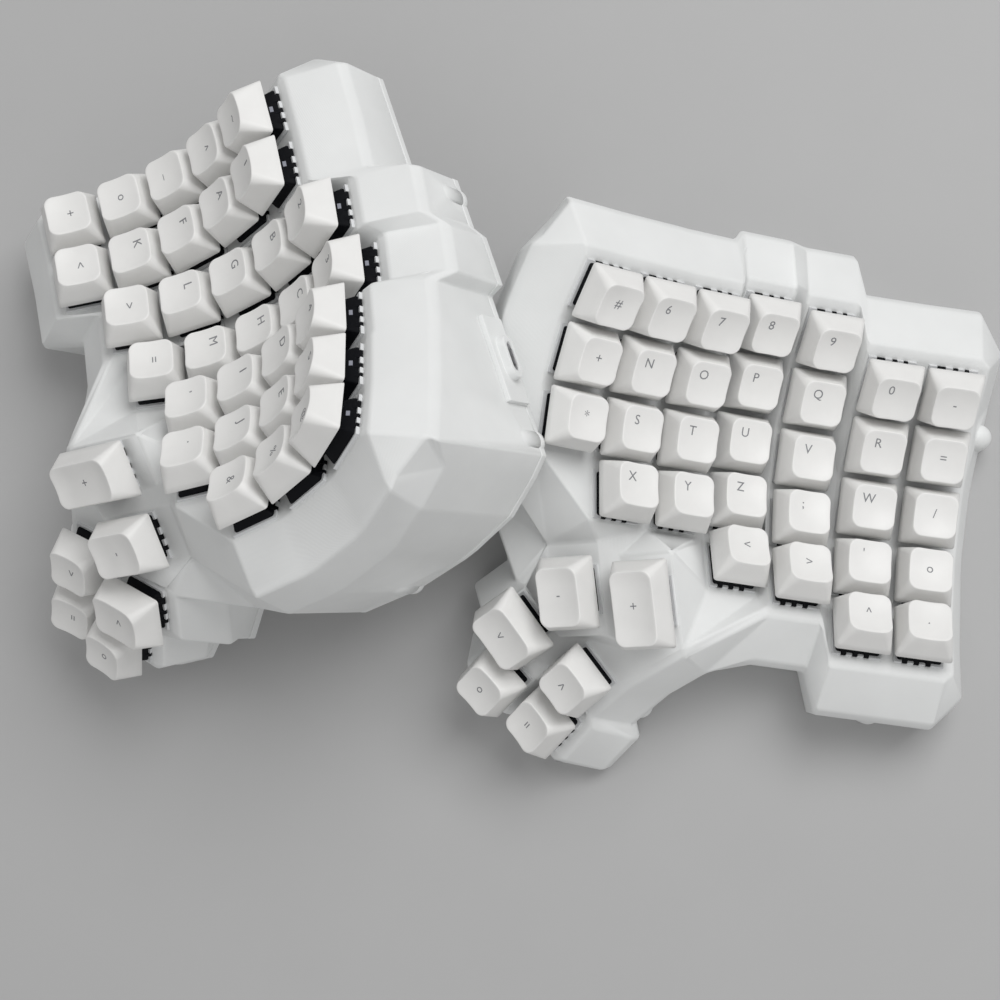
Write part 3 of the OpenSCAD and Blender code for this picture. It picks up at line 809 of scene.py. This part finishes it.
def rounded_ring(width: float, length: float, radius: float, level: float,
                 arc_steps: int, side_steps: int) -> np.ndarray:
    """Draws a rounded rectangle with a fixed number of points.

    Args:
        width: Size along X.
        length: Size along Y.
        radius: Radius of the corners.
        level: Height of the ring.
        arc_steps: Steps round each corner.
        side_steps: Steps along each side between two corners.

    Returns:
        The ring's points, anticlockwise from the right side.
    """
    x, y = width / 2 - radius, length / 2 - radius
    centres = ((x, y), (-x, y), (-x, -y), (x, -y))
    points = []
    for q, (cx, cy) in enumerate(centres):
        angles = np.radians(90 * q + np.linspace(0, 90, arc_steps + 1))
        arc = np.stack([cx + radius * np.cos(angles), cy + radius * np.sin(angles)], axis=1)
        nx, ny = centres[(q + 1) % 4]
        turn = math.radians(90 * (q + 1))
        end = np.array((nx + radius * math.cos(turn), ny + radius * math.sin(turn)))
        shares = np.arange(1, side_steps)[:, None] / side_steps
        points += [arc, arc[-1] + (end - arc[-1]) * shares]
    flat = np.concatenate(points)
    return np.column_stack([flat, np.full(len(flat), level)])


def loft(rings: list[np.ndarray], closed: bool = False) -> tuple[np.ndarray, Faces]:
    """Joins rings of equal length by faces.

    Args:
        rings: Rings from the inside bottom, round the outside, to the top.
        closed: Whether the last ring joins the first. Otherwise both ends get a face.

    Returns:
        The points and the faces.
    """
    count = len(rings[0])
    faces: Faces = []
    last = len(rings) if closed else len(rings) - 1
    for k in range(last):
        a, b = k * count, (k + 1) % len(rings) * count
        steps = [(i, (i + 1) % count) for i in range(count)]
        faces += [(a + i, a + n, b + n, b + i) for i, n in steps]
    if not closed:
        faces.append(tuple(range(count))[::-1])
        faces.append(tuple(range((len(rings) - 1) * count, len(rings) * count)))
    return np.concatenate(rings), faces


@dataclass(frozen=True)
class CapShape:
    """A keycap with flat skirts and a round dish, with its socket post and its slider.

    Its lower edge is rounded by one ring between foot and skirt, at edge_middle of the rounding
    inwards and upwards. Towards the middle of the dish its corners narrow to dish_round_share.
    """

    plate: float = PLATE
    lift: float = 6 * MM
    base: float = 18.2 * MM
    top: float = 13.6 * MM
    height: float = 8.9 * MM
    dish: float = 0.9 * MM
    base_round: float = 1.0 * MM
    top_round: float = 3.2 * MM
    wall: float = 1.3 * MM
    roof: float = 2.7 * MM
    roof_margin: float = 1.2 * MM
    edge_round: float = 0.25 * MM
    edge_middle: tuple[float, float] = (0.6, 0.3)
    rim_round: float = 0.42 * MM
    dish_round_share: float = 0.35
    least_side: float = 0.01 * MM
    unit: float = 19.05 * MM
    arc_steps: int = 8
    side_steps: int = 8
    skirt_steps: int = 4
    rim_steps: int = 4
    dish_steps: int = 8
    post_radius: float = 2.75 * MM
    post_low: float = 11 * MM
    slider_size: tuple[float, float] = SLIDER
    slider_levels: tuple[float, float] = (6.4 * MM, HOUSING_TOP)
    cross: tuple[float, float] = (4 * MM, 1.2 * MM)
    cross_top: float = 14.2 * MM
    slider_bevel: float = 0.12 * MM

    @property
    def low(self) -> float:
        """Height of the lower edge in the key's frame."""
        return self.plate + self.lift

    def extra(self, units: float) -> float:
        """Returns how much longer than a one-unit cap a cap is."""
        return (units - 1) * self.unit

    def dish_level(self, x: np.ndarray | float, y: np.ndarray | float,
                   extra: float) -> np.ndarray | float:
        """Returns the height of the dish at places on the cap.

        Args:
            x: Places across the cap.
            y: Places along the cap.
            extra: How much longer than a one-unit cap it is.

        Returns:
            The heights in the key's frame.
        """
        bend = self.dish / (self.top / 2) ** 2
        beyond = np.maximum(0, np.abs(y) - extra / 2)
        return self.low + self.height - self.dish + bend * (x * x + beyond * beyond)

    def ring(self, width: float, extra: float, radius: float, level: float = 0.0) -> np.ndarray:
        """Returns a ring of the cap at one level."""
        round_end = min(radius, width / 2 - self.least_side)
        return rounded_ring(width, width + extra, round_end, level, self.arc_steps, self.side_steps)

    def dish_ring(self, width: float, extra: float) -> np.ndarray:
        """Draws a ring of the cap that lies on the dish.

        Args:
            width: Width of the ring.
            extra: How much longer than a one-unit cap it is.

        Returns:
            The ring's points.
        """
        least = self.dish_round_share
        ring = self.ring(width, extra, self.top_round * (least + (1 - least) * width / self.top))
        ring[:, 2] = self.dish_level(ring[:, 0], ring[:, 1], extra)
        return ring

    def rim_rings(self, foot: np.ndarray, extra: float) -> list[np.ndarray]:
        """Rounds the corner between skirt and dish.

        Args:
            foot: The ring at the lower edge of the skirt.
            extra: How much longer than a one-unit cap it is.

        Returns:
            Rings from the skirt over the rim into the dish.
        """
        peak = self.dish_ring(self.top, extra)
        down = foot - peak
        start = peak + down / np.linalg.norm(down, axis=1, keepdims=True) * self.rim_round
        end = self.dish_ring(self.top - 2 * self.rim_round, extra)
        return [(1 - s) ** 2 * start + 2 * s * (1 - s) * peak + s * s * end
                for s in np.linspace(0, 1, self.rim_steps + 1)]

    def shell(self, units: float) -> Solid:
        """Lofts the cap from its hollow, round the skirt and over the rim into the dish.

        Args:
            units: Length in key units.

        Returns:
            The cap, with wear in the dish.
        """
        extra = self.extra(units)
        edge = self.edge_round
        inwards, upwards = self.edge_middle
        roof = self.low + self.height - self.roof
        foot = self.ring(self.base, extra, self.base_round, self.low + edge)
        rim = self.rim_rings(foot, extra)
        rings = [
            self.ring(self.top - self.roof_margin, extra, self.base_round, roof),
            self.ring(self.base - 2 * self.wall, extra, self.base_round, self.low),
            self.ring(self.base - 2 * edge, extra, self.base_round, self.low),
            self.ring(self.base - inwards * edge, extra, self.base_round, self.low + upwards * edge),
        ]
        skirt_shares = np.linspace(0, 1, self.skirt_steps + 1)[:-1]
        dish_shares = np.linspace(0, 1, self.dish_steps + 1)[1:-1]
        rings += [foot + (rim[0] - foot) * s for s in skirt_shares]
        rings += rim
        worn_from = len(rings)
        inner = self.top - 2 * self.rim_round
        rings += [self.dish_ring(inner * (1 - s), extra) for s in dish_shares]
        points, faces = loft(rings)
        solid = Solid.plain(points, faces)
        solid.wear[worn_from * len(rings[0]):] = 1.0
        return solid

    def carrier(self, finish: int) -> list[Solid]:
        """Builds the socket post under the cap and the slider with its cross.

        Args:
            finish: Finish number of the slider.

        Returns:
            The post, the slider and the two bars of its cross.
        """
        roof = self.low + self.height - self.roof + self.edge_round
        width = 2 * self.post_radius
        round_side = self.post_radius - self.least_side
        post = [rounded_ring(width, width, round_side, z, self.arc_steps, self.side_steps)
                for z in (self.post_low, roof)]
        long, thin = self.cross
        cross_levels = (self.slider_levels[1], self.cross_top)
        bars = [(self.slider_size, self.slider_levels)]
        bars += [(bar, cross_levels) for bar in ((long, thin), (thin, long))]
        sliders = [
            Solid.from_bmesh(bevelled(prism(rectangle(*size), *levels), self.slider_bevel, 1), finish)
            for size, levels in bars
        ]
        return [Solid.plain(*loft(post))] + sliders


@dataclass(frozen=True)
class LegendShape:
    """Raised ink signs laid on the dish of a cap."""

    type_size: float = 4.2 * MM
    thickness: float = 0.04 * MM
    weld: float = 0.001 * MM
    resolution: int = 3

    def sign(self, seat: KeySeat, cap: CapShape, finish: int) -> Solid:
        """Draws the sign of one cap.

        Args:
            seat: The key's seat.
            cap: Shape of the cap.
            finish: Finish number of the ink.

        Returns:
            The sign in the key's frame, following the dish.
        """
        curve = bpy.data.curves.new("sign", "FONT")
        curve.body = seat.sign
        curve.size = self.type_size
        curve.align_x = "CENTER"
        curve.align_y = "CENTER"
        curve.resolution_u = self.resolution
        curve.extrude = self.thickness
        holder = bpy.data.objects.new("sign", curve)
        draft = bmesh.new()
        draft.from_mesh(holder.to_mesh())
        holder.to_mesh_clear()
        bpy.data.objects.remove(holder)
        bpy.data.curves.remove(curve)
        bmesh.ops.remove_doubles(draft, verts=draft.verts, dist=self.weld)
        across, along = (v * MM for v in seat.sign_place.value)
        extra = cap.extra(seat.units)
        for vert in draft.verts:
            x, y = vert.co.x + across, vert.co.y + along
            vert.co = Vector((x, y, cap.dish_level(x, y, extra) + vert.co.z))
        return Solid.from_bmesh(draft, finish)


@dataclass
class KeySet:
    """All keys of one half: a cap and a slider on each seat, one piece for each key node."""

    side: Side
    palette: Palette
    cap: CapShape = field(default_factory=CapShape)
    legend: LegendShape = field(default_factory=LegendShape)

    def build(self, seats: list[KeySeat]) -> list[bpy.types.Object]:
        """Builds and dresses the keys.

        Args:
            seats: The half's seats in the part's frame.

        Returns:
            One piece for each key node.
        """
        carrier = self.cap.carrier(finish=1)
        lengths = {s.units for s in seats}
        forms = {u: Solid.joined([self.cap.shell(u), *carrier]) for u in lengths}
        groups: dict[str, list[Solid]] = {}
        for seat in seats:
            solids = groups.setdefault(f"{self.side.value}_{seat.node}", [])
            solids.append(forms[seat.units].moved(seat.place))
            if seat.sign:
                solids.append(self.legend.sign(seat, self.cap, finish=2).moved(seat.place))
        return [self.dress(node, solids) for node, solids in groups.items()]

    def dress(self, node: str, solids: list[Solid]) -> bpy.types.Object:
        """Makes the piece that stands for one key node.

        Args:
            node: Name of the node.
            solids: The caps, sliders and signs on it.

        Returns:
            The piece.
        """
        finishes = [self.palette.cap, self.palette.slider, self.palette.ink]
        piece = Solid.joined(solids).to_object(f"{node}_caps", finishes, Edge.SOFT)
        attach(piece, node)
        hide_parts(node)
        return piece


@dataclass
class SwitchField:
    """Switches of one half: pale lower housings with notched flanges, dark upper ones with tabs.

    Each tab is given by its place along the side and its width, in millimetres.
    """

    side: Side
    palette: Palette
    plate: float = PLATE
    body: float = 13.8 * MM
    depth: float = 5 * MM
    flange: float = 15.6 * MM
    flange_thick: float = 1 * MM
    back_tabs: tuple[tuple[float, float], ...] = ((-3.9, 2.7), (0.6, 1.6), (4.2, 1.4))
    front_tabs: tuple[tuple[float, float], ...] = ((-4.5, 1.7), (-0.8, 1.7), (2.9, 1.7))
    tab_room: float = 0.05 * MM
    tab_low: float = 0.15 * MM
    tab_face: float = 0.8 * MM
    tab_top: float = 2.9 * MM
    tab_lean: float = 0.7 * MM
    notch_depth: float = 0.9 * MM
    foot: float = 14 * MM
    foot_rise: float = 0.6 * MM
    head: tuple[float, float] = (10.4 * MM, 9.2 * MM)
    head_level: float = HOUSING_TOP
    slider_room: float = 0.5 * MM
    shaft_corner: float = 0.2 * MM
    shaft_floor: float = 1.8 * MM
    corner: float = 0.7 * MM
    bevel: float = 0.14 * MM
    arc_steps: int = 3
    pin_size: tuple[float, float] = (1.8 * MM, 1.1 * MM)
    pin_level: float = 7.2 * MM
    pin_shift: float = 0.4 * MM
    pin_depth: float = 0.4 * MM
    pin_proud: float = 0.12 * MM
    pin_bevel: float = 0.1 * MM

    @property
    def shaft(self) -> tuple[float, float]:
        """Width and length of the shaft, with room round the slider."""
        wide, long = SLIDER
        return wide + 2 * self.slider_room, long + 2 * self.slider_room

    def notched_side(self, tabs: tuple[tuple[float, float], ...]) -> Outline:
        """Draws the front side of a flange with a notch for each tab, from left to right.

        Args:
            tabs: Places and widths of the tabs, in millimetres.

        Returns:
            The points from the left corner to the last notch.
        """
        half = self.flange / 2
        deep = self.notch_depth - half
        points = [(-half, -half)]
        for centre, width in sorted(tabs):
            left = centre * MM - width * MM / 2 - self.tab_room
            right = centre * MM + width * MM / 2 + self.tab_room
            points += [(left, -half), (left, deep), (right, deep), (right, -half)]
        return points

    def flange_outline(self) -> Outline:
        """Draws the flange's square with notches in its front and back sides.

        Returns:
            The points, anticlockwise.
        """
        half = self.flange / 2
        turned = tuple((-centre, width) for centre, width in self.back_tabs)
        back = [(-x, -y) for x, y in self.notched_side(turned)]
        return self.notched_side(self.front_tabs) + [(half, -half)] + back + [(-half, half)]

    def lower_housing(self) -> Solid:
        """Builds the body below the plate with its shaft and its notched flange.

        Returns:
            The housing in the key's frame.
        """
        top = self.plate + self.flange_thick
        levels = [
            (self.body, self.body, self.plate - self.depth, self.corner),
            (self.body, self.body, self.plate, self.corner),
            (*self.shaft, self.plate, self.shaft_corner),
            (*self.shaft, self.shaft_floor, self.shaft_corner),
        ]
        rings = [rounded_ring(w, l, r, z, self.arc_steps, 1) for w, l, z, r in levels]
        rim = bevelled(prism(self.flange_outline(), self.plate, top), self.bevel, 1)
        return Solid.joined([
            Solid.plain(*loft(rings)),
            Solid.from_bmesh(pierced(rim, rectangle(*self.shaft), self.plate, top)),
        ])

    def tab(self, centre: float, width: float, facing: int) -> Solid:
        """Returns one tab that reaches from the upper housing over the flange.

        Args:
            centre: Place along the side, in millimetres.
            width: Width of the tab, in millimetres.
            facing: 1 for the back side, -1 for the front side.

        Returns:
            The tab.
        """
        out = self.flange / 2
        low = self.plate + self.tab_low
        inside = out - self.notch_depth + self.tab_room
        profile = [(inside, low), (out, low), (out, self.plate + self.tab_face),
                   (inside - self.tab_lean, self.plate + self.tab_top)]
        draft = prism(profile, -width * MM / 2, width * MM / 2)
        upright = Matrix(((0, 0, 1, centre * MM), (facing, 0, 0, 0), (0, 1, 0, 0), (0, 0, 0, 1)))
        draft.transform(upright)
        bmesh.ops.recalc_face_normals(draft, faces=draft.faces)
        return Solid.from_bmesh(bevelled(draft, self.bevel, 1))

    def pin(self, facing: int) -> Solid:
        """Makes the small pale pin in a sloping face of the upper housing.

        Args:
            facing: 1 for the back side, -1 for the front side.

        Returns:
            The pin.
        """
        low, high = self.plate + self.flange_thick + self.foot_rise, self.head_level
        slope = (self.foot - self.head[1]) / 2 / (high - low)
        wide, tall = self.pin_size
        out = self.foot / 2 - slope * (self.pin_level - low)
        draft = prism(rectangle(wide, tall), -self.pin_depth, self.pin_proud)
        lean = Matrix.Rotation(math.pi / 2 - math.atan(slope), 4, "X")
        place = Matrix.Translation((self.pin_shift, -out, self.pin_level)) @ lean
        draft.transform(Matrix.Rotation(math.pi / 2 * (1 + facing), 4, "Z") @ place)
        return Solid.from_bmesh(bevelled(draft, self.pin_bevel, 1), 1)

    def upper_housing(self) -> Solid:
        """Builds the tapered housing with its open shaft, its tabs and its pins.

        Returns:
            The housing in the key's frame.
        """
        low = self.plate + self.flange_thick
        wide, long = self.head
        inset = 2 * self.bevel
        levels = [
            (*self.shaft, low, self.shaft_corner),
            (self.foot, self.foot, low, self.corner),
            (self.foot, self.foot, low + self.foot_rise, self.corner),
            (wide, long, self.head_level - self.bevel, self.corner),
            (wide - inset, long - inset, self.head_level, self.corner),
            (*self.shaft, self.head_level, self.shaft_corner),
        ]
        rings = [rounded_ring(w, l, r, z, self.arc_steps, 1) for w, l, z, r in levels]
        tabs = [self.tab(*tab, facing=1) for tab in self.back_tabs]
        tabs += [self.tab(*tab, facing=-1) for tab in self.front_tabs]
        body = Solid.plain(*loft(rings, closed=True))
        return Solid.joined([body, *tabs, self.pin(1), self.pin(-1)])

    def build(self, seats: list[KeySeat]) -> list[bpy.types.Object]:
        """Builds and dresses the switches.

        Args:
            seats: The half's seats in the part's frame.

        Returns:
            The pieces for the lower and the upper housings.
        """
        pale, dark = self.palette.pale_housing, self.palette.dark_housing
        kinds = (
            ("switch_bases", self.lower_housing(), [pale], "switch_white"),
            ("switch_tops", self.upper_housing(), [dark, self.palette.pin], "switch_dark"),
        )
        pieces = []
        for stem, form, finishes, slot in kinds:
            node = f"{self.side.value}_{stem}"
            solid = Solid.joined([form.moved(s.place) for s in seats])
            piece = solid.to_object(f"{node}_moulded", finishes, Edge.FACETED)
            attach(piece, ROOT_BODY)
            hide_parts(node)
            pieces.append(piece)
        return pieces


@dataclass
class PrintedHalf:
    """The printed case and base plate of one half, with their printed edges softened."""

    side: Side
    palette: Palette
    weld: float = 0.01 * MM
    flat_angle: float = math.radians(0.6)
    edge_angle: float = math.radians(12)
    edge_round: float = 0.9 * MM
    edge_steps: int = 3
    shortest_edge: float = 1.5 * MM
    room_share: float = 0.3
    most_corners: int = 4
    base_round: float = 0.45 * MM

    def build(self) -> list[bpy.types.Object]:
        """Returns the case's piece and the base plate's node, both dressed."""
        return [self.case(), self.base()]

    def room(self, edge: bmesh.types.BMEdge) -> float:
        """Finds how wide an edge's rounding may be before it meets the next edges.

        Args:
            edge: The edge.

        Returns:
            The width.
        """
        widths = []
        for loop in edge.link_loops:
            before, after = loop.link_loop_prev, loop.link_loop_next
            for near, here, away in ((before.edge, loop.vert, after.vert),
                                     (after.edge, after.vert, loop.vert)):
                along = (away.co - here.co).normalized()
                side = near.other_vert(here).co - here.co
                widths.append((side - along * side.dot(along)).length)
        return self.room_share * min(widths)

    def rounding(self, edge: bmesh.types.BMEdge) -> float:
        """Works out how far an edge is rounded.

        Args:
            edge: The edge.

        Returns:
            Its share of the full rounding, which is none where it is flat or short.
        """
        sharp = edge.is_manifold and edge.calc_face_angle(0) > self.edge_angle
        if not sharp or edge.calc_length() < self.shortest_edge:
            return 0.0
        return min(1.0, self.room(edge) / self.edge_round)

    def case(self) -> bpy.types.Object:
        """Softens the edges of the case's solid and lets the result stand for it.

        Returns:
            The piece.
        """
        node = f"{self.side.value}_case"
        draft = bmesh.new()
        draft.from_mesh(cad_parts[node].data)
        bmesh.ops.remove_doubles(draft, verts=draft.verts, dist=self.weld)
        bmesh.ops.dissolve_limit(draft, angle_limit=self.flat_angle,
                                 verts=draft.verts, edges=draft.edges)
        # The rounding works on small convex faces alone
        wide = [f for f in draft.faces
                if len(f.verts) > self.most_corners or not all(c.is_convex for c in f.loops)]
        bmesh.ops.triangulate(draft, faces=wide)
        weights = [self.rounding(e) for e in draft.edges]
        mesh = bpy.data.meshes.new(f"{node}_printed")
        draft.to_mesh(mesh)
        draft.free()
        mesh.materials.clear()
        mesh.materials.append(self.palette.shells[self.side])
        rounding = mesh.attributes.new("bevel_weight_edge", "FLOAT", "EDGE")
        rounding.data.foreach_set("value", weights)
        mesh.shade_smooth()
        piece = bpy.data.objects.new(f"{node}_printed", mesh)
        bpy.context.scene.collection.objects.link(piece)
        soften(piece, self.edge_round, self.edge_steps).limit_method = "WEIGHT"
        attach(piece, ROOT_BODY)
        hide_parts(node)
        return piece

    def base(self) -> bpy.types.Object:
        """Gives the base plate's node soft edges and its finish."""
        node = f"{self.side.value}_base_plate"
        return dress_node(node, self.palette.shells[self.side], self.base_round)


def soften(piece: bpy.types.Object, width: float, steps: int = 2) -> bpy.types.BevelModifier:
    """Rounds the sharp edges of a piece by a modifier.

    Args:
        piece: The piece.
        width: Width of the rounding.
        steps: Faces across the rounding.

    Returns:
        The modifier.
    """
    bevel = piece.modifiers.new("edges", "BEVEL")
    bevel.width = width
    bevel.segments = steps
    bevel.limit_method = "ANGLE"
    bevel.angle_limit = SOFTENED_ANGLE
    bevel.use_clamp_overlap = False
    bevel.harden_normals = True
    return bevel


def dress_node(node: str, material: bpy.types.Material, edge: float) -> bpy.types.Object:
    """Dresses a CAD node that stays as it is.

    Args:
        node: Name of the node.
        material: Its finish.
        edge: Width of the rounding on its edges.

    Returns:
        The node's object.
    """
    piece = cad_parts[node]
    piece.data.materials.clear()
    piece.data.materials.append(material)
    weld = piece.modifiers.new("weld", "WELD")
    weld.merge_threshold = NODE_WELD
    soften(piece, edge).use_clamp_overlap = True
    return piece


@dataclass
class SmallParts:
    """Port holders, sockets, boards, cells, screws and inserts, which keep their solids."""

    palette: Palette

    def build(self) -> list[bpy.types.Object]:
        """Dresses the nodes.

        Returns:
            The nodes' objects.
        """
        # Node, finish and width of the rounding on its edges
        finishes = (
            ("port_holders", self.palette.shells[Side.RIGHT], 0.35 * MM),
            ("usb_sockets", self.palette.steel, 0.08 * MM),
            ("controller_boards", self.palette.board, 0.1 * MM),
            ("batteries", self.palette.foil, 0.4 * MM),
            ("base_screws", self.palette.black_steel, 0.12 * MM),
            ("threaded_inserts", self.palette.brass, 0.08 * MM),
        )
        return [dress_node(*finish) for finish in finishes]


@dataclass(frozen=True)
class Lamp:
    """A square soft lamp: its name, its place, the side of its panel and its power in watts."""

    name: str
    place: tuple[float, float, float]
    size: float
    power: float


@dataclass
class Studio:
    """Pale floor, soft light from behind and above with a little from the front, and the camera."""

    floor_size: float = 6.0
    floor_drop: float = 0.2 * MM
    floor_colour: Colour = (0.50, 0.50, 0.50)
    sky_colour: Colour = (1.0, 1.0, 1.0)
    sky_strength: float = 0.40
    lamps: tuple[Lamp, ...] = (
        Lamp("key_lamp", (0.27, 0.56, 1.09), 0.8, 9.0),
        Lamp("front_lamp", (0.1, -0.85, 0.8), 1.0, 1.2),
    )
    camera_place: tuple[float, float, float] = (-0.01863, -0.06906, 0.64104)
    camera_aim: tuple[float, float, float] = (-0.0706, -0.0258, 0.04)
    camera_up: tuple[float, float, float] = (-0.1277, 0.9884, 0.0822)
    lens: float = 68.95
    sensor: float = 36.0

    def floor(self) -> None:
        """Lays the floor, a finely mottled sheet of pale paper."""
        outline = rectangle(self.floor_size, self.floor_size)
        corners = np.array([(x, y, -self.floor_drop) for x, y in outline])
        paper = MouldedPlastic("floor_paper", self.floor_colour, mottle=0.985, roughness=0.85,
                               blotch=40 * MM, specular=0.1).build()
        made = Solid.plain(corners, [(0, 1, 2, 3)]).to_object("floor", [paper], Edge.FACETED)

    def hang(self, lamp: Lamp) -> None:
        """Hangs a lamp so that it faces the part.

        Args:
            lamp: The lamp.
        """
        light = bpy.data.lights.new(lamp.name, "AREA")
        light.size = lamp.size
        light.energy = lamp.power
        made = bpy.data.objects.new(lamp.name, light)
        made.location = lamp.place
        aim = Vector(self.camera_aim) - Vector(lamp.place)
        made.rotation_euler = aim.to_track_quat("-Z", "Y").to_euler()
        bpy.context.scene.collection.objects.link(made)

    def camera(self) -> None:
        """Sets the camera up at the photograph's viewing angle."""
        lens = bpy.data.cameras.new("camera")
        lens.lens = self.lens
        lens.sensor_width = self.sensor
        made = bpy.data.objects.new("camera", lens)
        back = (Vector(self.camera_place) - Vector(self.camera_aim)).normalized()
        right = Vector(self.camera_up).cross(back).normalized()
        turn = Matrix((right, back.cross(right), back)).transposed().to_4x4()
        made.matrix_world = Matrix.Translation(self.camera_place) @ turn
        bpy.context.scene.collection.objects.link(made)
        bpy.context.scene.camera = made

    def build(self) -> None:
        """Builds the floor, the light and the camera."""
        self.floor()
        world = bpy.data.worlds.new("studio")
        world.use_nodes = True
        sky = world.node_tree.nodes["Background"]
        sky.inputs["Color"].default_value = (*self.sky_colour, 1.0)
        sky.inputs["Strength"].default_value = self.sky_strength
        bpy.context.scene.world = world
        for lamp in self.lamps:
            self.hang(lamp)
        bpy.context.scene.view_settings.view_transform = "Standard"
        self.camera()


def check_seats(side: Side, seats: list[KeySeat], cap: CapShape) -> None:
    """Warns of each cap whose middle lies outside the box of its node.

    Args:
        side: The half.
        seats: The half's seats in the part's frame.
        cap: Shape of the caps.
    """
    for node in {s.node for s in seats}:
        low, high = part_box(f"{side.value}_{node}")
        for seat in (s for s in seats if s.node == node):
            middle = seat.place @ Vector((0, 0, cap.low + cap.height / 2))
            if not all(a <= m <= b for a, m, b in zip(low, middle, high)):
                LOG.warning("%s_%s lies outside its node's box", side.value, node)


def main() -> None:
    """Builds the sub-assemblies in order and reports each piece."""
    logging.basicConfig(level=logging.INFO, format="%(name)s: %(message)s")
    well = KeyWell()
    halves = HalfPlaces()
    nodes = sorted({s.node for s in well.seats(LEGENDS[Side.RIGHT])})
    pose = halves.left_pose(nodes)
    palette = Palette.build(pose.to_3x3() @ Vector((0, 0, 1)))
    pieces: list[bpy.types.Object] = []
    for side in Side:
        seats = [
            replace(s, place=halves.seat_in_part(side, pose, s.place))
            for s in well.seats(LEGENDS[side])
        ]
        check_seats(side, seats, CapShape())
        pieces += PrintedHalf(side, palette).build()
        pieces += SwitchField(side, palette).build(seats)
        pieces += KeySet(side, palette).build(seats)
    pieces += SmallParts(palette).build()
    Studio().build()
    for piece in pieces:
        mesh = piece.data
        LOG.info("%s: %d points, %d faces", piece.name, len(mesh.vertices), len(mesh.polygons))


if __name__ == "__main__":
    main()
